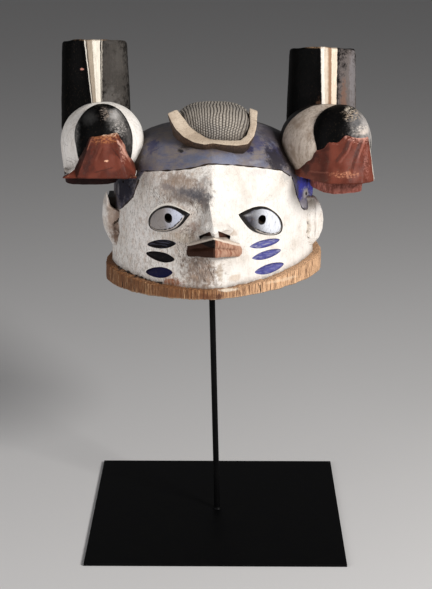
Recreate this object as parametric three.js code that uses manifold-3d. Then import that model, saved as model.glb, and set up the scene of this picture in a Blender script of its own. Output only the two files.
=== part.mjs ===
// A carved and painted wooden helmet mask with two hooded side posts, held up by a steel rod on a
// square steel plate. Millimetres, +Z up, the face looks along -Y, X grows to the viewer's right.
// The origin is the centre of the plate's underside.
import * as THREE from 'three';
import { mergeVertices } from 'three/addons/utils/BufferGeometryUtils.js';
import Module from 'manifold-3d';

const wasm = await Module();
wasm.setup();

// Driving dimensions of the stand
const gap = 0.3;
const plate = { side: 254, thick: 3, bevel: 0.5 };
const rod = { radius: 3, footX: 0.9, lean: -0.0224, collarRadius: 4.6, collarHeight: 2.4 };
const pad = { radius: 19, thick: 3.5, clear: 2, seatLength: 60 };

// Driving dimensions of the mask's body
const head = {
  centreX: -3.5, footZ: 262, shoulderZ: 348, crownZ: 408, waistWidth: 96.5, footWidth: 99.5,
  front: 93, footFront: 88, back: 112, frontPower: 1.42, backPower: 2.25, domePower: 2.5,
  keel: 2.6, keelHalf: 40,
};
const rim = {
  underZ: 258, roll: 0.0512, halfWidth: 106, front: 95, back: 120, frontHeight: 10.5, sideHeight: 19.5,
  frontPower: 1.5, backPower: 2.3,
};
const hollow = {
  footZ: 236, shoulderZ: 322, crownZ: 388, waistWidth: 83, footWidth: 86, front: 74, footFront: 76,
  back: 98, frontPower: 1.7, domePower: 2.3, keel: 0, keelHalf: 40,
};

// Driving dimensions of the face
const nose = {
  bridgeZ: 352, tipZ: 326, wingZ: 319, drop: 9, tipY: -113, bridgeY: -95, rootY: -80,
  halfWidth: 16.5, bridgeHalf: 4, slope: 0.72, lean: 1.5,
};
const mouth = {
  halfWidth: 26, topZ: 321, bottomZ: 303, cornerZ: 303, cornerRise: 2, upperLip: 2.5, lowerLip: 1.5,
  frontY: -111, sideY: -82, groove: 2.6, grooveHeight: 0.45, grooveHalf: 0.1,
};
const featureRoot = 14;
const eye = {
  halfWidth: 28.5, halfHeight: 12.6, depth: 7, socket: 1.06, socketDepth: 6, sink: 3, taper: 0.4,
  pupilRadius: 3.6, pupilDepth: 6, drillLength: 40,
};
const eyes = [
  { x: -42.6, z: 332, turn: -0.65, tilt: 0.28, pupilX: -44.5, pupilZ: 332.2 },
  { x: 41.6, z: 330.5, turn: 0.69, tilt: -0.3, pupilX: 43.3, pupilZ: 330.1 },
];
const mark = { halfLength: 17, halfDepth: 3.6, halfHeight: 4.6, turn: 0.72 };
const marks = [
  { x: -50.8, z: 305.1, tilt: 0 }, { x: -52.4, z: 292.6, tilt: -0.12 }, { x: -54.1, z: 276.9, tilt: 0 },
  { x: 46, z: 305.3, tilt: 0.16 }, { x: 47.6, z: 294.1, tilt: 0.2 }, { x: 50.4, z: 279.2, tilt: 0.24 },
];

// Driving dimensions of what the head carries
const ear = { halfHeight: 29, halfWidth: 17, halfThick: 6, y: 10, hollow: 7, inner: 0.78, lean: 6 };
const ears = [
  { side: -1, rootX: -98, rootTop: 338, top: 338 },
  { side: 1, rootX: 91, rootTop: 322, top: 334 },
];
const earBlock = { width: 24, depth: 22, height: 44, inset: 3, back: 14 };
const mound = { x: -2.5, y: -15, z: 402, halfWidth: 38.5, halfLength: 46, height: 29.5 };
const band = {
  inner: 36, thick: 9, stretch: 1.2, footZ: 392, footDip: 14, frontZ: 401, tipZ: 421, bevel: 4.5,
  sweep: 1.5, notch: 3, notchHalf: 1 / 12,
};
const posts = [
  { x: -117.4, topZ: 491, halfTop: 31, halfFoot: 34.5, ridgeTurn: 0 },
  { x: 103, topZ: 483.5, halfTop: 30.5, halfFoot: 33.5, ridgeTurn: 0.19 },
];
const post = {
  y: 16, halfDepth: 30, footZ: 372, footStart: 0.14, fall: 0.2, ridgeHeight: 3.5, ridgeHalfAngle: 0.3,
};
const hoods = [
  { x: -108, turn: 0, beakZ: 369, beakTop: 13, flare: 1.7, lipZ: 361, lipX: -12, lipHalf: 26 },
  { x: 106.5, turn: 0.38, beakZ: 365.5, beakTop: 20, flare: 1.3, lipZ: 352.5, lipX: 3, lipHalf: 21.5 },
];
const hood = { y: -14, z: 393.5, halfWidth: 41, halfDepth: 50, legHalf: 37 };
const lip = { y: -16, halfDepth: 34, overlap: 6, taper: 0.94 };
const dome = { forward: 30, z: 398, halfWidth: 28.3, halfDepth: 26, height: 37, footHalf: 25 };
const beak = { topZ: 408, footHalf: 33, topY: -56.5, footY: -64, backY: 10, topTurn: 14, footTurn: 52 };

// Small helpers
const power = (value, exponent) => Math.sign(value) * Math.abs(value) ** exponent;
const mix = (a, b, t) => a + (b - a) * t;
const clamp = (value, low, high) => Math.min(high, Math.max(low, value));
const ease = (value, low, high) => THREE.MathUtils.smoothstep(value, low, high);

// A closed solid from a geometry whose shared vertices are merged.
function solid(geometry) {
  const bare = geometry.clone();
  bare.deleteAttribute('normal');
  bare.deleteAttribute('uv');
  const merged = mergeVertices(bare, 1e-3);
  return new wasm.Manifold(new wasm.Mesh({
    numProp: 3,
    vertProperties: new Float32Array(merged.attributes.position.array),
    triVerts: new Uint32Array(merged.index.array),
  }));
}

// The geometry of a finished solid.
function geometryOf(manifold) {
  const mesh = manifold.getMesh();
  const places = new Float32Array(mesh.numVert * 3);
  for (let i = 0; i < mesh.numVert; i += 1) {
    for (let k = 0; k < 3; k += 1) places[3 * i + k] = mesh.vertProperties[i * mesh.numProp + k];
  }
  const geometry = new THREE.BufferGeometry();
  geometry.setAttribute('position', new THREE.BufferAttribute(places, 3));
  geometry.setIndex(new THREE.BufferAttribute(new Uint32Array(mesh.triVerts), 1));
  geometry.computeVertexNormals();
  return geometry;
}

// Moves every vertex of a geometry by a function of its place.
function shaped(geometry, move) {
  const places = geometry.attributes.position;
  const point = new THREE.Vector3();
  for (let i = 0; i < places.count; i += 1) {
    point.fromBufferAttribute(places, i);
    move(point);
    places.setXYZ(i, point.x, point.y, point.z);
  }
  return geometry;
}

// A solid turned about Z from [radius, height] pairs, listed from the foot up, ends on the axis.
function turned(profile, segments) {
  const points = profile.map(([radius, height]) => new THREE.Vector2(radius, height));
  return new THREE.LatheGeometry(points, segments).rotateX(Math.PI / 2);
}

// A unit block whose points are sent to their place by (across -1..1, depth 0..1, height 0..1).
function remapped(cells, place) {
  const block = new THREE.BoxGeometry(2, 1, 1, ...cells).translate(0, 0.5, 0.5);
  return shaped(block, (point) => point.copy(place(point.x, point.y, point.z)));
}

// Plan outline of unit size: angle 0 is the front, a quarter turn is the viewer's right.
function plan(angle, frontPower, backPower) {
  const exponent = 2 / (Math.cos(angle) > 0 ? frontPower : backPower);
  return [power(Math.sin(angle), exponent), -power(Math.cos(angle), exponent)];
}

// Height of the rim's sloping underside.
const undersideZ = (x) => rim.underZ + rim.roll * (x - head.centreX);

// Sends a unit lathe to a domed, keeled body: the head itself and the hollow inside it.
function domedPoint(point, size) {
  const radius = Math.hypot(point.x, point.y);
  const [across, along] = plan(Math.atan2(point.x, -point.y), size.frontPower, head.backPower);
  const lift = clamp((point.z - size.shoulderZ) / (size.crownZ - size.shoulderZ), 0, 1);
  const scale = radius * (1 - lift ** size.domePower) ** (1 / size.domePower);
  const low = 1 - ease(point.z, size.footZ, size.shoulderZ);
  const depth = along < 0 ? mix(size.front, size.footFront, low) : size.back;
  point.x = head.centreX + scale * mix(size.waistWidth, size.footWidth, low) * across;
  point.y = scale * depth * along;
  const keel = Math.max(0, 1 - Math.abs(point.x - head.centreX) / size.keelHalf);
  if (along < 0) point.y -= size.keel * keel * scale;
}

function domedBody(size, straightRows, roundRows, segments) {
  const profile = [[0, size.footZ]];
  for (let i = 0; i < straightRows; i += 1) {
    profile.push([1, mix(size.footZ, size.shoulderZ, i / straightRows)]);
  }
  for (let i = 0; i < roundRows; i += 1) {
    const rise = Math.sin((Math.PI / 2) * (i / roundRows) ** 0.8);
    profile.push([1, mix(size.shoulderZ, size.crownZ, rise)]);
  }
  profile.push([0, size.crownZ]);
  return solid(shaped(turned(profile, segments), (point) => domedPoint(point, size)));
}

// The raw rim stands proud of the face all round, lower in front than at the sides.
function rimRing() {
  const profile = [[0, 0], [0.98, 0], [1, 0.15], [0.99, 1], [0, 1]];
  return solid(shaped(turned(profile, 52), (point) => {
    const radius = Math.hypot(point.x, point.y);
    const angle = Math.atan2(point.x, -point.y);
    const [across, along] = plan(angle, rim.frontPower, rim.backPower);
    const sideways = along < 0 ? Math.sin(angle) ** 2 : 1;
    const height = mix(rim.frontHeight, rim.sideHeight, sideways);
    const x = head.centreX + radius * rim.halfWidth * across;
    const y = radius * (along < 0 ? rim.front : rim.back) * along;
    point.set(x, y, undersideZ(x) + point.z * height);
  }));
}

// Depth of the bare head's front surface at a place on the face.
function faceY(x, z) {
  const low = 1 - ease(z, head.footZ, head.shoulderZ);
  const halfWidth = mix(head.waistWidth, head.footWidth, low);
  const across = Math.abs(x - head.centreX) / halfWidth;
  return -mix(head.front, head.footFront, low) * (1 - across ** head.frontPower) ** (1 / head.frontPower);
}

function noseShape() {
  return remapped([6, 2, 4], (across, depth, height) => {
    const half = mix(nose.halfWidth, nose.bridgeHalf, height ** 0.75);
    const tip = mix(nose.tipY, nose.bridgeY, height);
    const front = tip + Math.abs(across) ** 1.3 * (nose.rootY - tip) * nose.slope;
    const foot = mix(nose.tipZ, nose.wingZ, Math.abs(across)) - nose.drop * Math.min(1, depth * 2);
    const y = mix(front, nose.rootY + featureRoot, depth);
    return new THREE.Vector3(across * half - nose.lean * height, y, mix(foot, nose.bridgeZ, height));
  });
}

// Lips that stand out like the bow of a boat, with a groove between them.
function mouthShape() {
  return remapped([8, 1, 6], (across, depth, height) => {
    const bow = 1 - Math.abs(across);
    const groove = Math.abs(height - mouth.grooveHeight) < mouth.grooveHalf ? mouth.groove : 0;
    const front = mix(mouth.sideY, mouth.frontY, bow ** 0.9) + groove;
    const cornerZ = mouth.cornerZ + mouth.cornerRise * across;
    const high = mix(cornerZ + mouth.upperLip, mouth.topZ, bow ** 0.6);
    const low = mix(cornerZ - mouth.lowerLip, mouth.bottomZ, bow ** 0.5);
    const y = mix(front, mouth.sideY + featureRoot, depth);
    return new THREE.Vector3(across * mouth.halfWidth, y, mix(low, high, height));
  });
}

// The almond ball of an eye, pointed at the nose end.
function eyeBall({ x, z, turn, tilt }, scale, depth) {
  const ball = new THREE.SphereGeometry(1, 18, 9);
  shaped(ball, (point) => {
    const inward = point.x * Math.sign(-x);
    const taper = inward > 0 ? 1 - eye.taper * inward ** 2 : 1;
    point.set(point.x * eye.halfWidth * scale, point.y * depth, point.z * eye.halfHeight * scale * taper);
  });
  return solid(ball.rotateY(-tilt).rotateZ(turn).translate(x, faceY(x, z) + eye.sink, z));
}

function pupilHole({ pupilX, pupilZ }) {
  const hole = new THREE.CylinderGeometry(eye.pupilRadius, eye.pupilRadius, eye.drillLength, 16);
  const y = faceY(pupilX, pupilZ) + eye.pupilDepth - eye.drillLength / 2;
  return solid(hole.translate(pupilX, y, pupilZ));
}

// A lens-shaped gouge in the cheek, cut to a little over three millimetres.
function cheekMark({ x, z, tilt }) {
  const lens = new THREE.SphereGeometry(1, 12, 6).scale(mark.halfLength, mark.halfDepth, mark.halfHeight);
  return solid(lens.rotateY(-tilt).rotateZ(Math.sign(x) * mark.turn).translate(x, faceY(x, z), z));
}

// Ears: leaves with a pointed top that stand out from the sides, hollowed in front.
function earSolid({ side, rootX, top }) {
  const ball = (grow) => new THREE.SphereGeometry(1, 14, 8).scale(grow, 1, grow);
  const leaf = (grow, forward) => shaped(ball(grow), (point) => {
    const taper = point.z > 0 ? 1 - 0.6 * point.z ** 2 : 1 - 0.2 * point.z ** 2;
    const outward = point.x * side;
    const x = rootX + side * (outward * ear.halfWidth * taper + ear.lean * Math.max(0, point.z) ** 2);
    const z = top - ear.halfHeight + point.z * ear.halfHeight;
    point.set(x, ear.y - forward + point.y * ear.halfThick, z);
  });
  return solid(leaf(1, 0)).subtract(solid(leaf(ear.inner, ear.hollow)));
}

// The block that backs an ear, with a level top.
function earRoot({ side, rootX, rootTop }) {
  const block = new THREE.BoxGeometry(earBlock.width, earBlock.depth, earBlock.height);
  const x = rootX - side * earBlock.inset;
  return solid(block.translate(x, ear.y + earBlock.back, rootTop - earBlock.height / 2));
}

// The ribbed hair mound, whose fine ribs are not in this solid.
function moundSolid() {
  const ball = new THREE.SphereGeometry(1, 24, 12).rotateX(Math.PI / 2);
  ball.scale(mound.halfWidth, mound.halfLength, mound.height);
  return solid(ball.translate(mound.x, mound.y, mound.z));
}

// The raised band that runs round the front of the mound and stands higher at its two tips.
function bandShape() {
  return remapped([20, 1, 1], (across, inward, height) => {
    const depth = 1 - inward;
    const angle = across * band.sweep;
    const reach = band.inner + depth * band.thick;
    const notch = Math.max(0, 1 - Math.abs(across) / band.notchHalf) * band.notch * depth;
    const top = mix(band.frontZ, band.tipZ, (1 - Math.cos(angle)) ** 0.9) + band.bevel * (1 - depth);
    const foot = band.footZ - band.footDip * Math.cos(angle);
    return new THREE.Vector3(mound.x + reach * Math.sin(angle),
      mound.y - (reach * band.stretch - notch) * Math.cos(angle), mix(foot, top, height));
  });
}

// A round post whose front carries an upright ridge and whose top falls away to the back.
function postSolid({ x, topZ, halfTop, halfFoot, ridgeTurn }) {
  const rows = 3;
  const profile = [[0, 0], [0.72, 0], [0.9, 0.05]];
  for (let i = 0; i <= rows; i += 1) profile.push([1, mix(post.footStart, 1, i / rows)]);
  profile.push([0, 1]);
  return solid(shaped(turned(profile, 34), (point) => {
    const radius = Math.hypot(point.x, point.y);
    const angle = Math.atan2(point.x, -point.y);
    const [across, along] = plan(angle, 2.3, 2);
    const rise = Math.max(0, point.z);
    const half = mix(halfFoot, halfTop, rise ** 1.5);
    const lift = Math.max(0, 1 - Math.abs(angle - ridgeTurn) / post.ridgeHalfAngle);
    const localY = radius * (along * post.halfDepth * (half / halfFoot) - post.ridgeHeight * lift);
    const fall = post.fall * (localY + post.halfDepth) * rise ** 4;
    point.set(x + radius * half * across, post.y + localY, mix(post.footZ, topZ, point.z) - fall);
  }));
}

// A horseshoe-fronted body: round above its centre, nearly straight legs below it.
function hoodBody({ halfWidth, halfDepth, height, footHalf, drop }, segments) {
  const above = 6;
  const below = 3;
  const profile = [[0, -1]];
  for (let i = 0; i <= below; i += 1) profile.push([1, -1 + i / (below + 1)]);
  for (let i = 0; i < above; i += 1) profile.push([1, Math.sin((Math.PI / 2) * (i / above))]);
  profile.push([0, 1]);
  return shaped(turned(profile, segments), (point) => {
    const radius = Math.hypot(point.x, point.y);
    const angle = Math.atan2(point.x, -point.y);
    const upper = Math.sqrt(Math.max(0, 1 - point.z ** 2));
    const round = point.z > 0 ? upper : mix(1, footHalf / halfWidth, point.z ** 2);
    point.x = radius * round * halfWidth * Math.sin(angle);
    point.y = -radius * round * halfDepth * Math.cos(angle);
    point.z *= point.z > 0 ? height : drop;
  });
}

// The beak flares to a flat foot, with a middle face and two turned side faces.
function beakShape({ beakZ, beakTop, flare }) {
  return remapped([8, 1, 5], (across, depth, height) => {
    const half = mix(beakTop, beak.footHalf, (1 - height) ** flare);
    const turnBack = Math.max(0, Math.abs(across) - 0.5) * mix(beak.footTurn, beak.topTurn, height);
    const front = mix(beak.footY, beak.topY, height ** 1.2) + turnBack;
    return new THREE.Vector3(across * half, mix(front, beak.backY, depth), mix(beakZ, beak.topZ, height));
  });
}

// Hood, dome, beak and the slab under the beak, turned together to the way they face.
function hoodSolid(side) {
  const { x, turn, beakZ, lipZ, lipX, lipHalf } = side;
  const lipTop = beakZ + lip.overlap;
  const place = (geometry) => solid(geometry.rotateZ(turn).translate(x, hood.y, 0));
  const shell = { ...hood, height: hood.halfWidth, footHalf: hood.legHalf, drop: hood.z - beakZ };
  const body = hoodBody(shell, 28);
  const front = hoodBody({ ...dome, drop: dome.z - beakZ - 2 }, 24);
  const slab = new THREE.CylinderGeometry(1, lip.taper, lipTop - lipZ, 26).rotateX(Math.PI / 2);
  const parts = [
    place(body.translate(0, 0, hood.z)),
    place(front.translate(0, -dome.forward, dome.z)),
    place(slab.scale(lipHalf, lip.halfDepth, 1).translate(lipX, lip.y, (lipTop + lipZ) / 2)),
    place(beakShape(side)),
  ];
  return parts.reduce((whole, piece) => whole.add(piece));
}

function maskSolid() {
  const added = [
    rimRing(), solid(noseShape()), solid(mouthShape()), moundSolid(), solid(bandShape()),
    ...ears.map(earSolid), ...ears.map(earRoot), ...posts.map(postSolid), ...hoods.map(hoodSolid),
  ];
  let mask = added.reduce((whole, piece) => whole.add(piece), domedBody(head, 4, 7, 52));
  for (const place of eyes) {
    mask = mask.subtract(eyeBall(place, eye.socket, eye.socketDepth));
    mask = mask.add(eyeBall(place, 1, eye.depth)).subtract(pupilHole(place));
  }
  for (const place of marks) mask = mask.subtract(cheekMark(place));
  const seatRadius = pad.radius + pad.clear;
  const seat = new THREE.CylinderGeometry(seatRadius, seatRadius, pad.seatLength, 24);
  const seatZ = hollow.crownZ + 1 - pad.seatLength / 2;
  return mask.subtract(domedBody(hollow, 3, 6, 34))
    .subtract(solid(seat.rotateX(Math.PI / 2).translate(rodX(hollow.crownZ), 0, seatZ)));
}

// Centre of the leaning rod at a height.
const rodX = (z) => rod.footX + rod.lean * z;

// The rod with its weld at the foot and the round pad that bears under the crown.
function rodSolid() {
  const foot = plate.thick + gap;
  const top = hollow.crownZ + 1 - gap;
  const length = top - foot - pad.thick / 2;
  const bar = turned([[0, 0], [rod.radius, 0], [rod.radius, 1], [0, 1]], 24);
  const weld = turned([[0, 0], [rod.collarRadius, 0], [rod.collarRadius * 0.82, rod.collarHeight * 0.6],
    [rod.radius * 0.9, rod.collarHeight], [0, rod.collarHeight]], 24);
  const disc = new THREE.CylinderGeometry(pad.radius, pad.radius, pad.thick, 28).rotateX(Math.PI / 2);
  const lean = (point) => {
    const z = foot + point.z * length;
    point.set(point.x + rodX(z), point.y, z);
  };
  return solid(shaped(bar, lean))
    .add(solid(weld.translate(rodX(foot), 0, foot)))
    .add(solid(disc.translate(rodX(top), 0, top - pad.thick / 2)));
}

function plateSolid() {
  const flat = plate.side - 2 * plate.bevel;
  const outline = new THREE.Shape([[-1, -1], [1, -1], [1, 1], [-1, 1]]
    .map(([x, y]) => new THREE.Vector2((x * flat) / 2, (y * flat) / 2)));
  const slab = new THREE.ExtrudeGeometry(outline, {
    depth: plate.thick - 2 * plate.bevel, bevelEnabled: true, bevelThickness: plate.bevel,
    bevelSize: plate.bevel, bevelSegments: 2,
  });
  return solid(slab.translate(0, 0, plate.bevel));
}

function piece(name, manifold, color, roughness, metalness) {
  const material = new THREE.MeshStandardMaterial({ color, roughness, metalness });
  const mesh = new THREE.Mesh(geometryOf(manifold), material);
  mesh.name = name;
  return mesh;
}

const group = new THREE.Group();
group.add(
  piece('mask', maskSolid(), 0xd8cfc2, 0.75, 0),
  piece('support_rod', rodSolid(), 0x141416, 0.4, 0.8),
  piece('base_plate', plateSolid(), 0x101012, 0.45, 0.8),
);
export default group;
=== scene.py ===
import math
import bpy
import bmesh
from mathutils import Matrix, Vector, noise
from mathutils.bvhtree import BVHTree


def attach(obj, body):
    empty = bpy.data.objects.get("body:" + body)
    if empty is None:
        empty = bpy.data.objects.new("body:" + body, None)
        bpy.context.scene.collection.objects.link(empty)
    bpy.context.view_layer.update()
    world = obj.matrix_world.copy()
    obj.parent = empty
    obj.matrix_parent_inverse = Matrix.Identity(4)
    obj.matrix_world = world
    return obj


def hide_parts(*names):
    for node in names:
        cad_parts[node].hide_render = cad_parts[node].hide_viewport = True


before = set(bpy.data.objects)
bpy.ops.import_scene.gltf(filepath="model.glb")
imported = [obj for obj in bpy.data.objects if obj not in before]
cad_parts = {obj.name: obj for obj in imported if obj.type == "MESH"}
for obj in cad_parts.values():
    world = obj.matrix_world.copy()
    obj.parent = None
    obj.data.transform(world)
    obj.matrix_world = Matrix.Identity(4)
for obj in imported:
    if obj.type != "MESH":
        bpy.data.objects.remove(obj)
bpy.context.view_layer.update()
scene = bpy.context.scene
mm = 0.001  # the forms are modelled in millimetres and scaled once at the end

# Camera and studio, in metres and degrees
camera = {
    "place": (0.0123, -1.4495, 0.6686), "pitch": 16.63, "yaw": 0.5,
    "lens": 92.54, "sensor": 36, "near": 0.05,
}
studio = {
    "floorHalf": 6, "floorColour": (0.68, 0.67, 0.66), "floorRoughness": 0.9,
    "worldColour": (0.9, 0.9, 0.92), "worldStrength": 0.13,
    "keyPlace": (1.3, -1.3, 1.2), "keySize": 0.6, "keyPower": 45.5, "keyColour": (1.0, 0.988, 0.978),
    "fillPlace": (-1.5, -1.35, 0.9), "fillSize": 1.2, "fillPower": 13.6, "fillColour": (0.97, 0.97, 1.0),
    "aim": (0, 0, 0.36),
}


def aimedAt(target, place):
    return (Vector(target) - Vector(place)).to_track_quat("-Z", "Y").to_euler()


def makeCamera():
    data = bpy.data.cameras.new("viewpoint")
    data.lens = camera["lens"]
    data.sensor_width = camera["sensor"]
    data.clip_start = camera["near"]
    seen = bpy.data.objects.new("viewpoint", data)
    seen.location = camera["place"]
    seen.rotation_euler = (math.radians(90 - camera["pitch"]), 0, math.radians(camera["yaw"]))
    scene.collection.objects.link(seen)
    scene.camera = seen


def softLight(name, place, size, power, colour):
    data = bpy.data.lights.new(name, "AREA")
    data.shape = "DISK"
    data.size = size
    data.energy = power
    data.color = colour
    lamp = bpy.data.objects.new(name, data)
    lamp.location = place
    lamp.rotation_euler = aimedAt(studio["aim"], place)
    scene.collection.objects.link(lamp)


def makeStudio():
    bm = bmesh.new()
    bmesh.ops.create_grid(bm, x_segments=2, y_segments=2, size=studio["floorHalf"])
    floor = meshObject("floor", bm)
    paint = bpy.data.materials.new("floorPaper")
    paint.use_nodes = True
    shader = paint.node_tree.nodes["Principled BSDF"]
    shader.inputs["Base Color"].default_value = (*studio["floorColour"], 1)
    shader.inputs["Roughness"].default_value = studio["floorRoughness"]
    floor.data.materials.append(paint)
    for name in ("key", "fill"):
        place, size, power, colour = [studio[name + part] for part in ("Place", "Size", "Power", "Colour")]
        softLight(name + "Light", place, size, power, colour)
    world = bpy.data.worlds.new("softRoom")
    world.use_nodes = True
    room = world.node_tree.nodes["Background"]
    room.inputs["Color"].default_value = (*studio["worldColour"], 1)
    room.inputs["Strength"].default_value = studio["worldStrength"]
    scene.world = world
    scene.view_settings.view_transform = "Standard"


# Small helpers; every length from here on is in millimetres
weld = {"turned": 1e-3, "cord": 1e-4, "sliver": 1e-4}  # how near vertices are before they become one


def mix(a, b, t):
    return a + (b - a) * t


def clamp(value, low=0.0, high=1.0):
    return min(high, max(low, value))


def ease(value, low, high):
    t = clamp((value - low) / (high - low))
    return t * t * (3 - 2 * t)


def signed(value, exponent):
    return math.copysign(abs(value) ** exponent, value)


def alongLine(points, value):
    # the second number at a place on a line given by pairs
    for (a, first), (b, second) in zip(points, points[1:]):
        if value <= b:
            return mix(first, second, clamp((value - a) / (b - a)))
    return points[-1][1]


def alongOutline(points, t):
    # the place at t from 0 to 1 along evenly counted points
    run = clamp(t) * (len(points) - 1)
    index = min(int(run), len(points) - 2)
    return Vector(points[index]).lerp(Vector(points[index + 1]), run - index)


def planPoint(angle, frontPower, backPower):
    # plan outline of unit size: angle 0 is the front, a quarter turn is the viewer's right
    exponent = 2 / (frontPower if math.cos(angle) > 0 else backPower)
    return signed(math.sin(angle), exponent), -signed(math.cos(angle), exponent)


def denseFront(angle, amount):
    # crowds evenly spaced angles towards the front
    return math.copysign(math.pi * abs(angle / math.pi) ** amount, angle)


def meshObject(name, bm):
    mesh = bpy.data.meshes.new(name)
    bm.to_mesh(mesh)
    bm.free()
    made = bpy.data.objects.new(name, mesh)
    scene.collection.objects.link(made)
    return made


def turnedForm(profile, steps):
    # a closed body spun about Z from radius and height pairs, both ends on the axis
    bm = bmesh.new()
    chain = [bm.verts.new((radius, 0, height)) for radius, height in profile]
    edges = [bm.edges.new(pair) for pair in zip(chain, chain[1:])]
    bmesh.ops.spin(bm, geom=chain + edges, cent=(0, 0, 0), axis=(0, 0, 1), angle=2 * math.pi,
                   steps=steps, use_merge=True)
    bmesh.ops.remove_doubles(bm, verts=bm.verts, dist=weld["turned"])
    return bm


def blockForm(cells):
    # a cube from -1 to 1, cut into cells along X, Y and Z
    bm = bmesh.new()
    bmesh.ops.create_cube(bm, size=2)
    for axis, count in enumerate(cells):
        if count < 2:
            continue
        run = [edge for edge in bm.edges if abs((edge.verts[0].co - edge.verts[1].co)[axis]) > 1.9]
        bmesh.ops.subdivide_edges(bm, edges=run, cuts=count - 1, use_grid_fill=True)
    return bm


def ballForm(around, rows):
    bm = bmesh.new()
    bmesh.ops.create_uvsphere(bm, u_segments=around, v_segments=rows, radius=1)
    return bm


def placed(bm, place):
    for v in bm.verts:
        v.co = place(v.co)
    bmesh.ops.recalc_face_normals(bm, faces=bm.faces)
    if bm.calc_volume(signed=True) < 0:
        bmesh.ops.reverse_faces(bm, faces=bm.faces)
    return bm


def pushed(bm, depth):
    # moves each vertex along its normal by a function of its place
    bm.normal_update()
    moves = [(v, v.normal * depth(v.co)) for v in bm.verts]
    for v, move in moves:
        v.co += move
    return bm


def softened(bm, times):
    for _ in range(times):
        bmesh.ops.smooth_vert(bm, verts=bm.verts, factor=0.5,
                              use_axis_x=True, use_axis_y=True, use_axis_z=True)
    return bm


def toolMarks(co, cell, depth, stretch=1.0, seed=0.0):
    # scalloped cuts with low ridges between them
    spot = Vector((co.x / cell + seed, co.y / cell, co.z / (cell * stretch)))
    nearest = noise.voronoi(spot)[0][0]
    return depth * (min(nearest, 1.0) ** 2 - 0.35)


def wobble(co, size, depth, seed=0.0):
    return depth * noise.noise(Vector((co.x / size + seed, co.y / size, co.z / size)))


def cutLine(path, width, seed=0.0):
    # a closed cord along a path, of slightly uneven thickness
    line = bpy.data.curves.new("line", "CURVE")
    line.dimensions = "3D"
    line.bevel_depth = width
    line.bevel_resolution = 1
    line.use_fill_caps = True
    run = line.splines.new("POLY")
    run.points.add(len(path) - 1)
    for point, place in zip(run.points, path):
        point.co = (*place, 1)
        point.radius = max(0.3, 1 + wobble(place, 6, 1.3, seed))
    shown = bpy.data.objects.new("line", line)
    bm = bmesh.new()
    bm.from_mesh(bpy.data.meshes.new_from_object(shown))
    bmesh.ops.remove_doubles(bm, verts=bm.verts, dist=weld["cord"])
    bpy.data.objects.remove(shown)
    return bm


materials = {}


def formObject(name, bm, finish):
    made = meshObject(name, bm)
    made.data.materials.append(materials[finish])
    return made


def joined(body, tool, operation="UNION"):
    cut = body.modifiers.new("join", "BOOLEAN")
    cut.operation = operation
    cut.solver = "MANIFOLD"
    cut.material_mode = "TRANSFER"
    cut.object = tool
    bpy.context.view_layer.objects.active = body
    bpy.ops.object.modifier_apply(modifier=cut.name)
    bpy.data.objects.remove(tool)


def gathered(forms, finish):
    # several separate forms of one finish as one tool
    whole = bmesh.new()
    for bm in forms:
        part = bpy.data.meshes.new("part")
        bm.to_mesh(part)
        bm.free()
        whole.from_mesh(part)
    return formObject("tool", whole, finish)


# The head, its rim and the hollow inside
head = {
    "centreX": -3.5, "footZ": 262, "shoulderZ": 348, "crownZ": 408, "waist": 96.5, "foot": 99.5,
    "front": 93, "footFront": 88, "back": 112, "frontPower": 1.42, "footPower": 1.6, "backPower": 2.25,
    "domePower": 2.5,
    "keel": 2.6, "keelHalf": 40, "steps": 320, "wallRows": 54, "domeRows": 46, "bunch": 0.8, "crowd": 1.28,
    "marks": (9.0, 0.45, 1.5), "swell": (34, 0.9, 5), "capStep": 0.5, "capSoft": 0.6,
}
hollow = {
    "centreX": -3.5, "footZ": 236, "shoulderZ": 322, "crownZ": 388, "waist": 83, "foot": 86,
    "front": 74, "footFront": 76, "back": 98, "frontPower": 1.7, "footPower": 1.7, "backPower": 2.25,
    "domePower": 2.3,
    "keel": 0, "keelHalf": 40, "steps": 100, "wallRows": 26, "domeRows": 20, "bunch": 0.8, "crowd": 1.0,
    "marks": (15.0, 1.3, 1.5),
}
rim = {
    "centreX": -2.9, "underZ": 258, "roll": 0.0512, "halfWidth": 106.6, "front": 95, "back": 120,
    "frontHeight": 10.5, "sideHeight": 19.5, "frontPower": 1.66, "backPower": 2.3,
    "steps": 560, "rows": 7, "crowd": 1.45, "meanRadius": 95, "choppedFrom": 60,
    "fluteDepth": 0.55, "fluteWidth": 1.9, "fluteLength": 26,
    "facetDepth": 1.2, "facetBias": 0.4, "facets": 26, "roughness": (9, 0.35),
}
padSeat = {"radius": 21, "height": 60, "steps": 48}
rodLine = {"footX": 0.9, "lean": -0.0224}
hairline = {
    "front": [(-80, 368), (-66.9, 371.5), (-36.8, 377.3), (-21.8, 380.8), (-7, 385.3), (0.4, 385.3),
              (18.8, 382.9), (38.4, 378.7), (61.4, 372.2), (70.3, 365)],
    "left": [(322, -12), (331, -24.6), (344.3, -39.5), (362.1, -45), (371.5, -48.2)],
    "right": [(322, -12), (330.6, -25.8), (348.1, -33.5), (364.7, -38), (372.5, -46)],
    "nape": 327, "width": 0.62, "span": (-71, 70), "steps": 70, "footGap": 6, "topGap": 9, "sideSteps": 30,
}


def capReach(x, y, z):
    # how far above the hairline a place on the head lies, in millimetres
    temple = alongLine(hairline["left" if x < 0 else "right"], z)
    return max(z - alongLine(hairline["front"], x), min(y - temple, z - hairline["nape"]))


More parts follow.
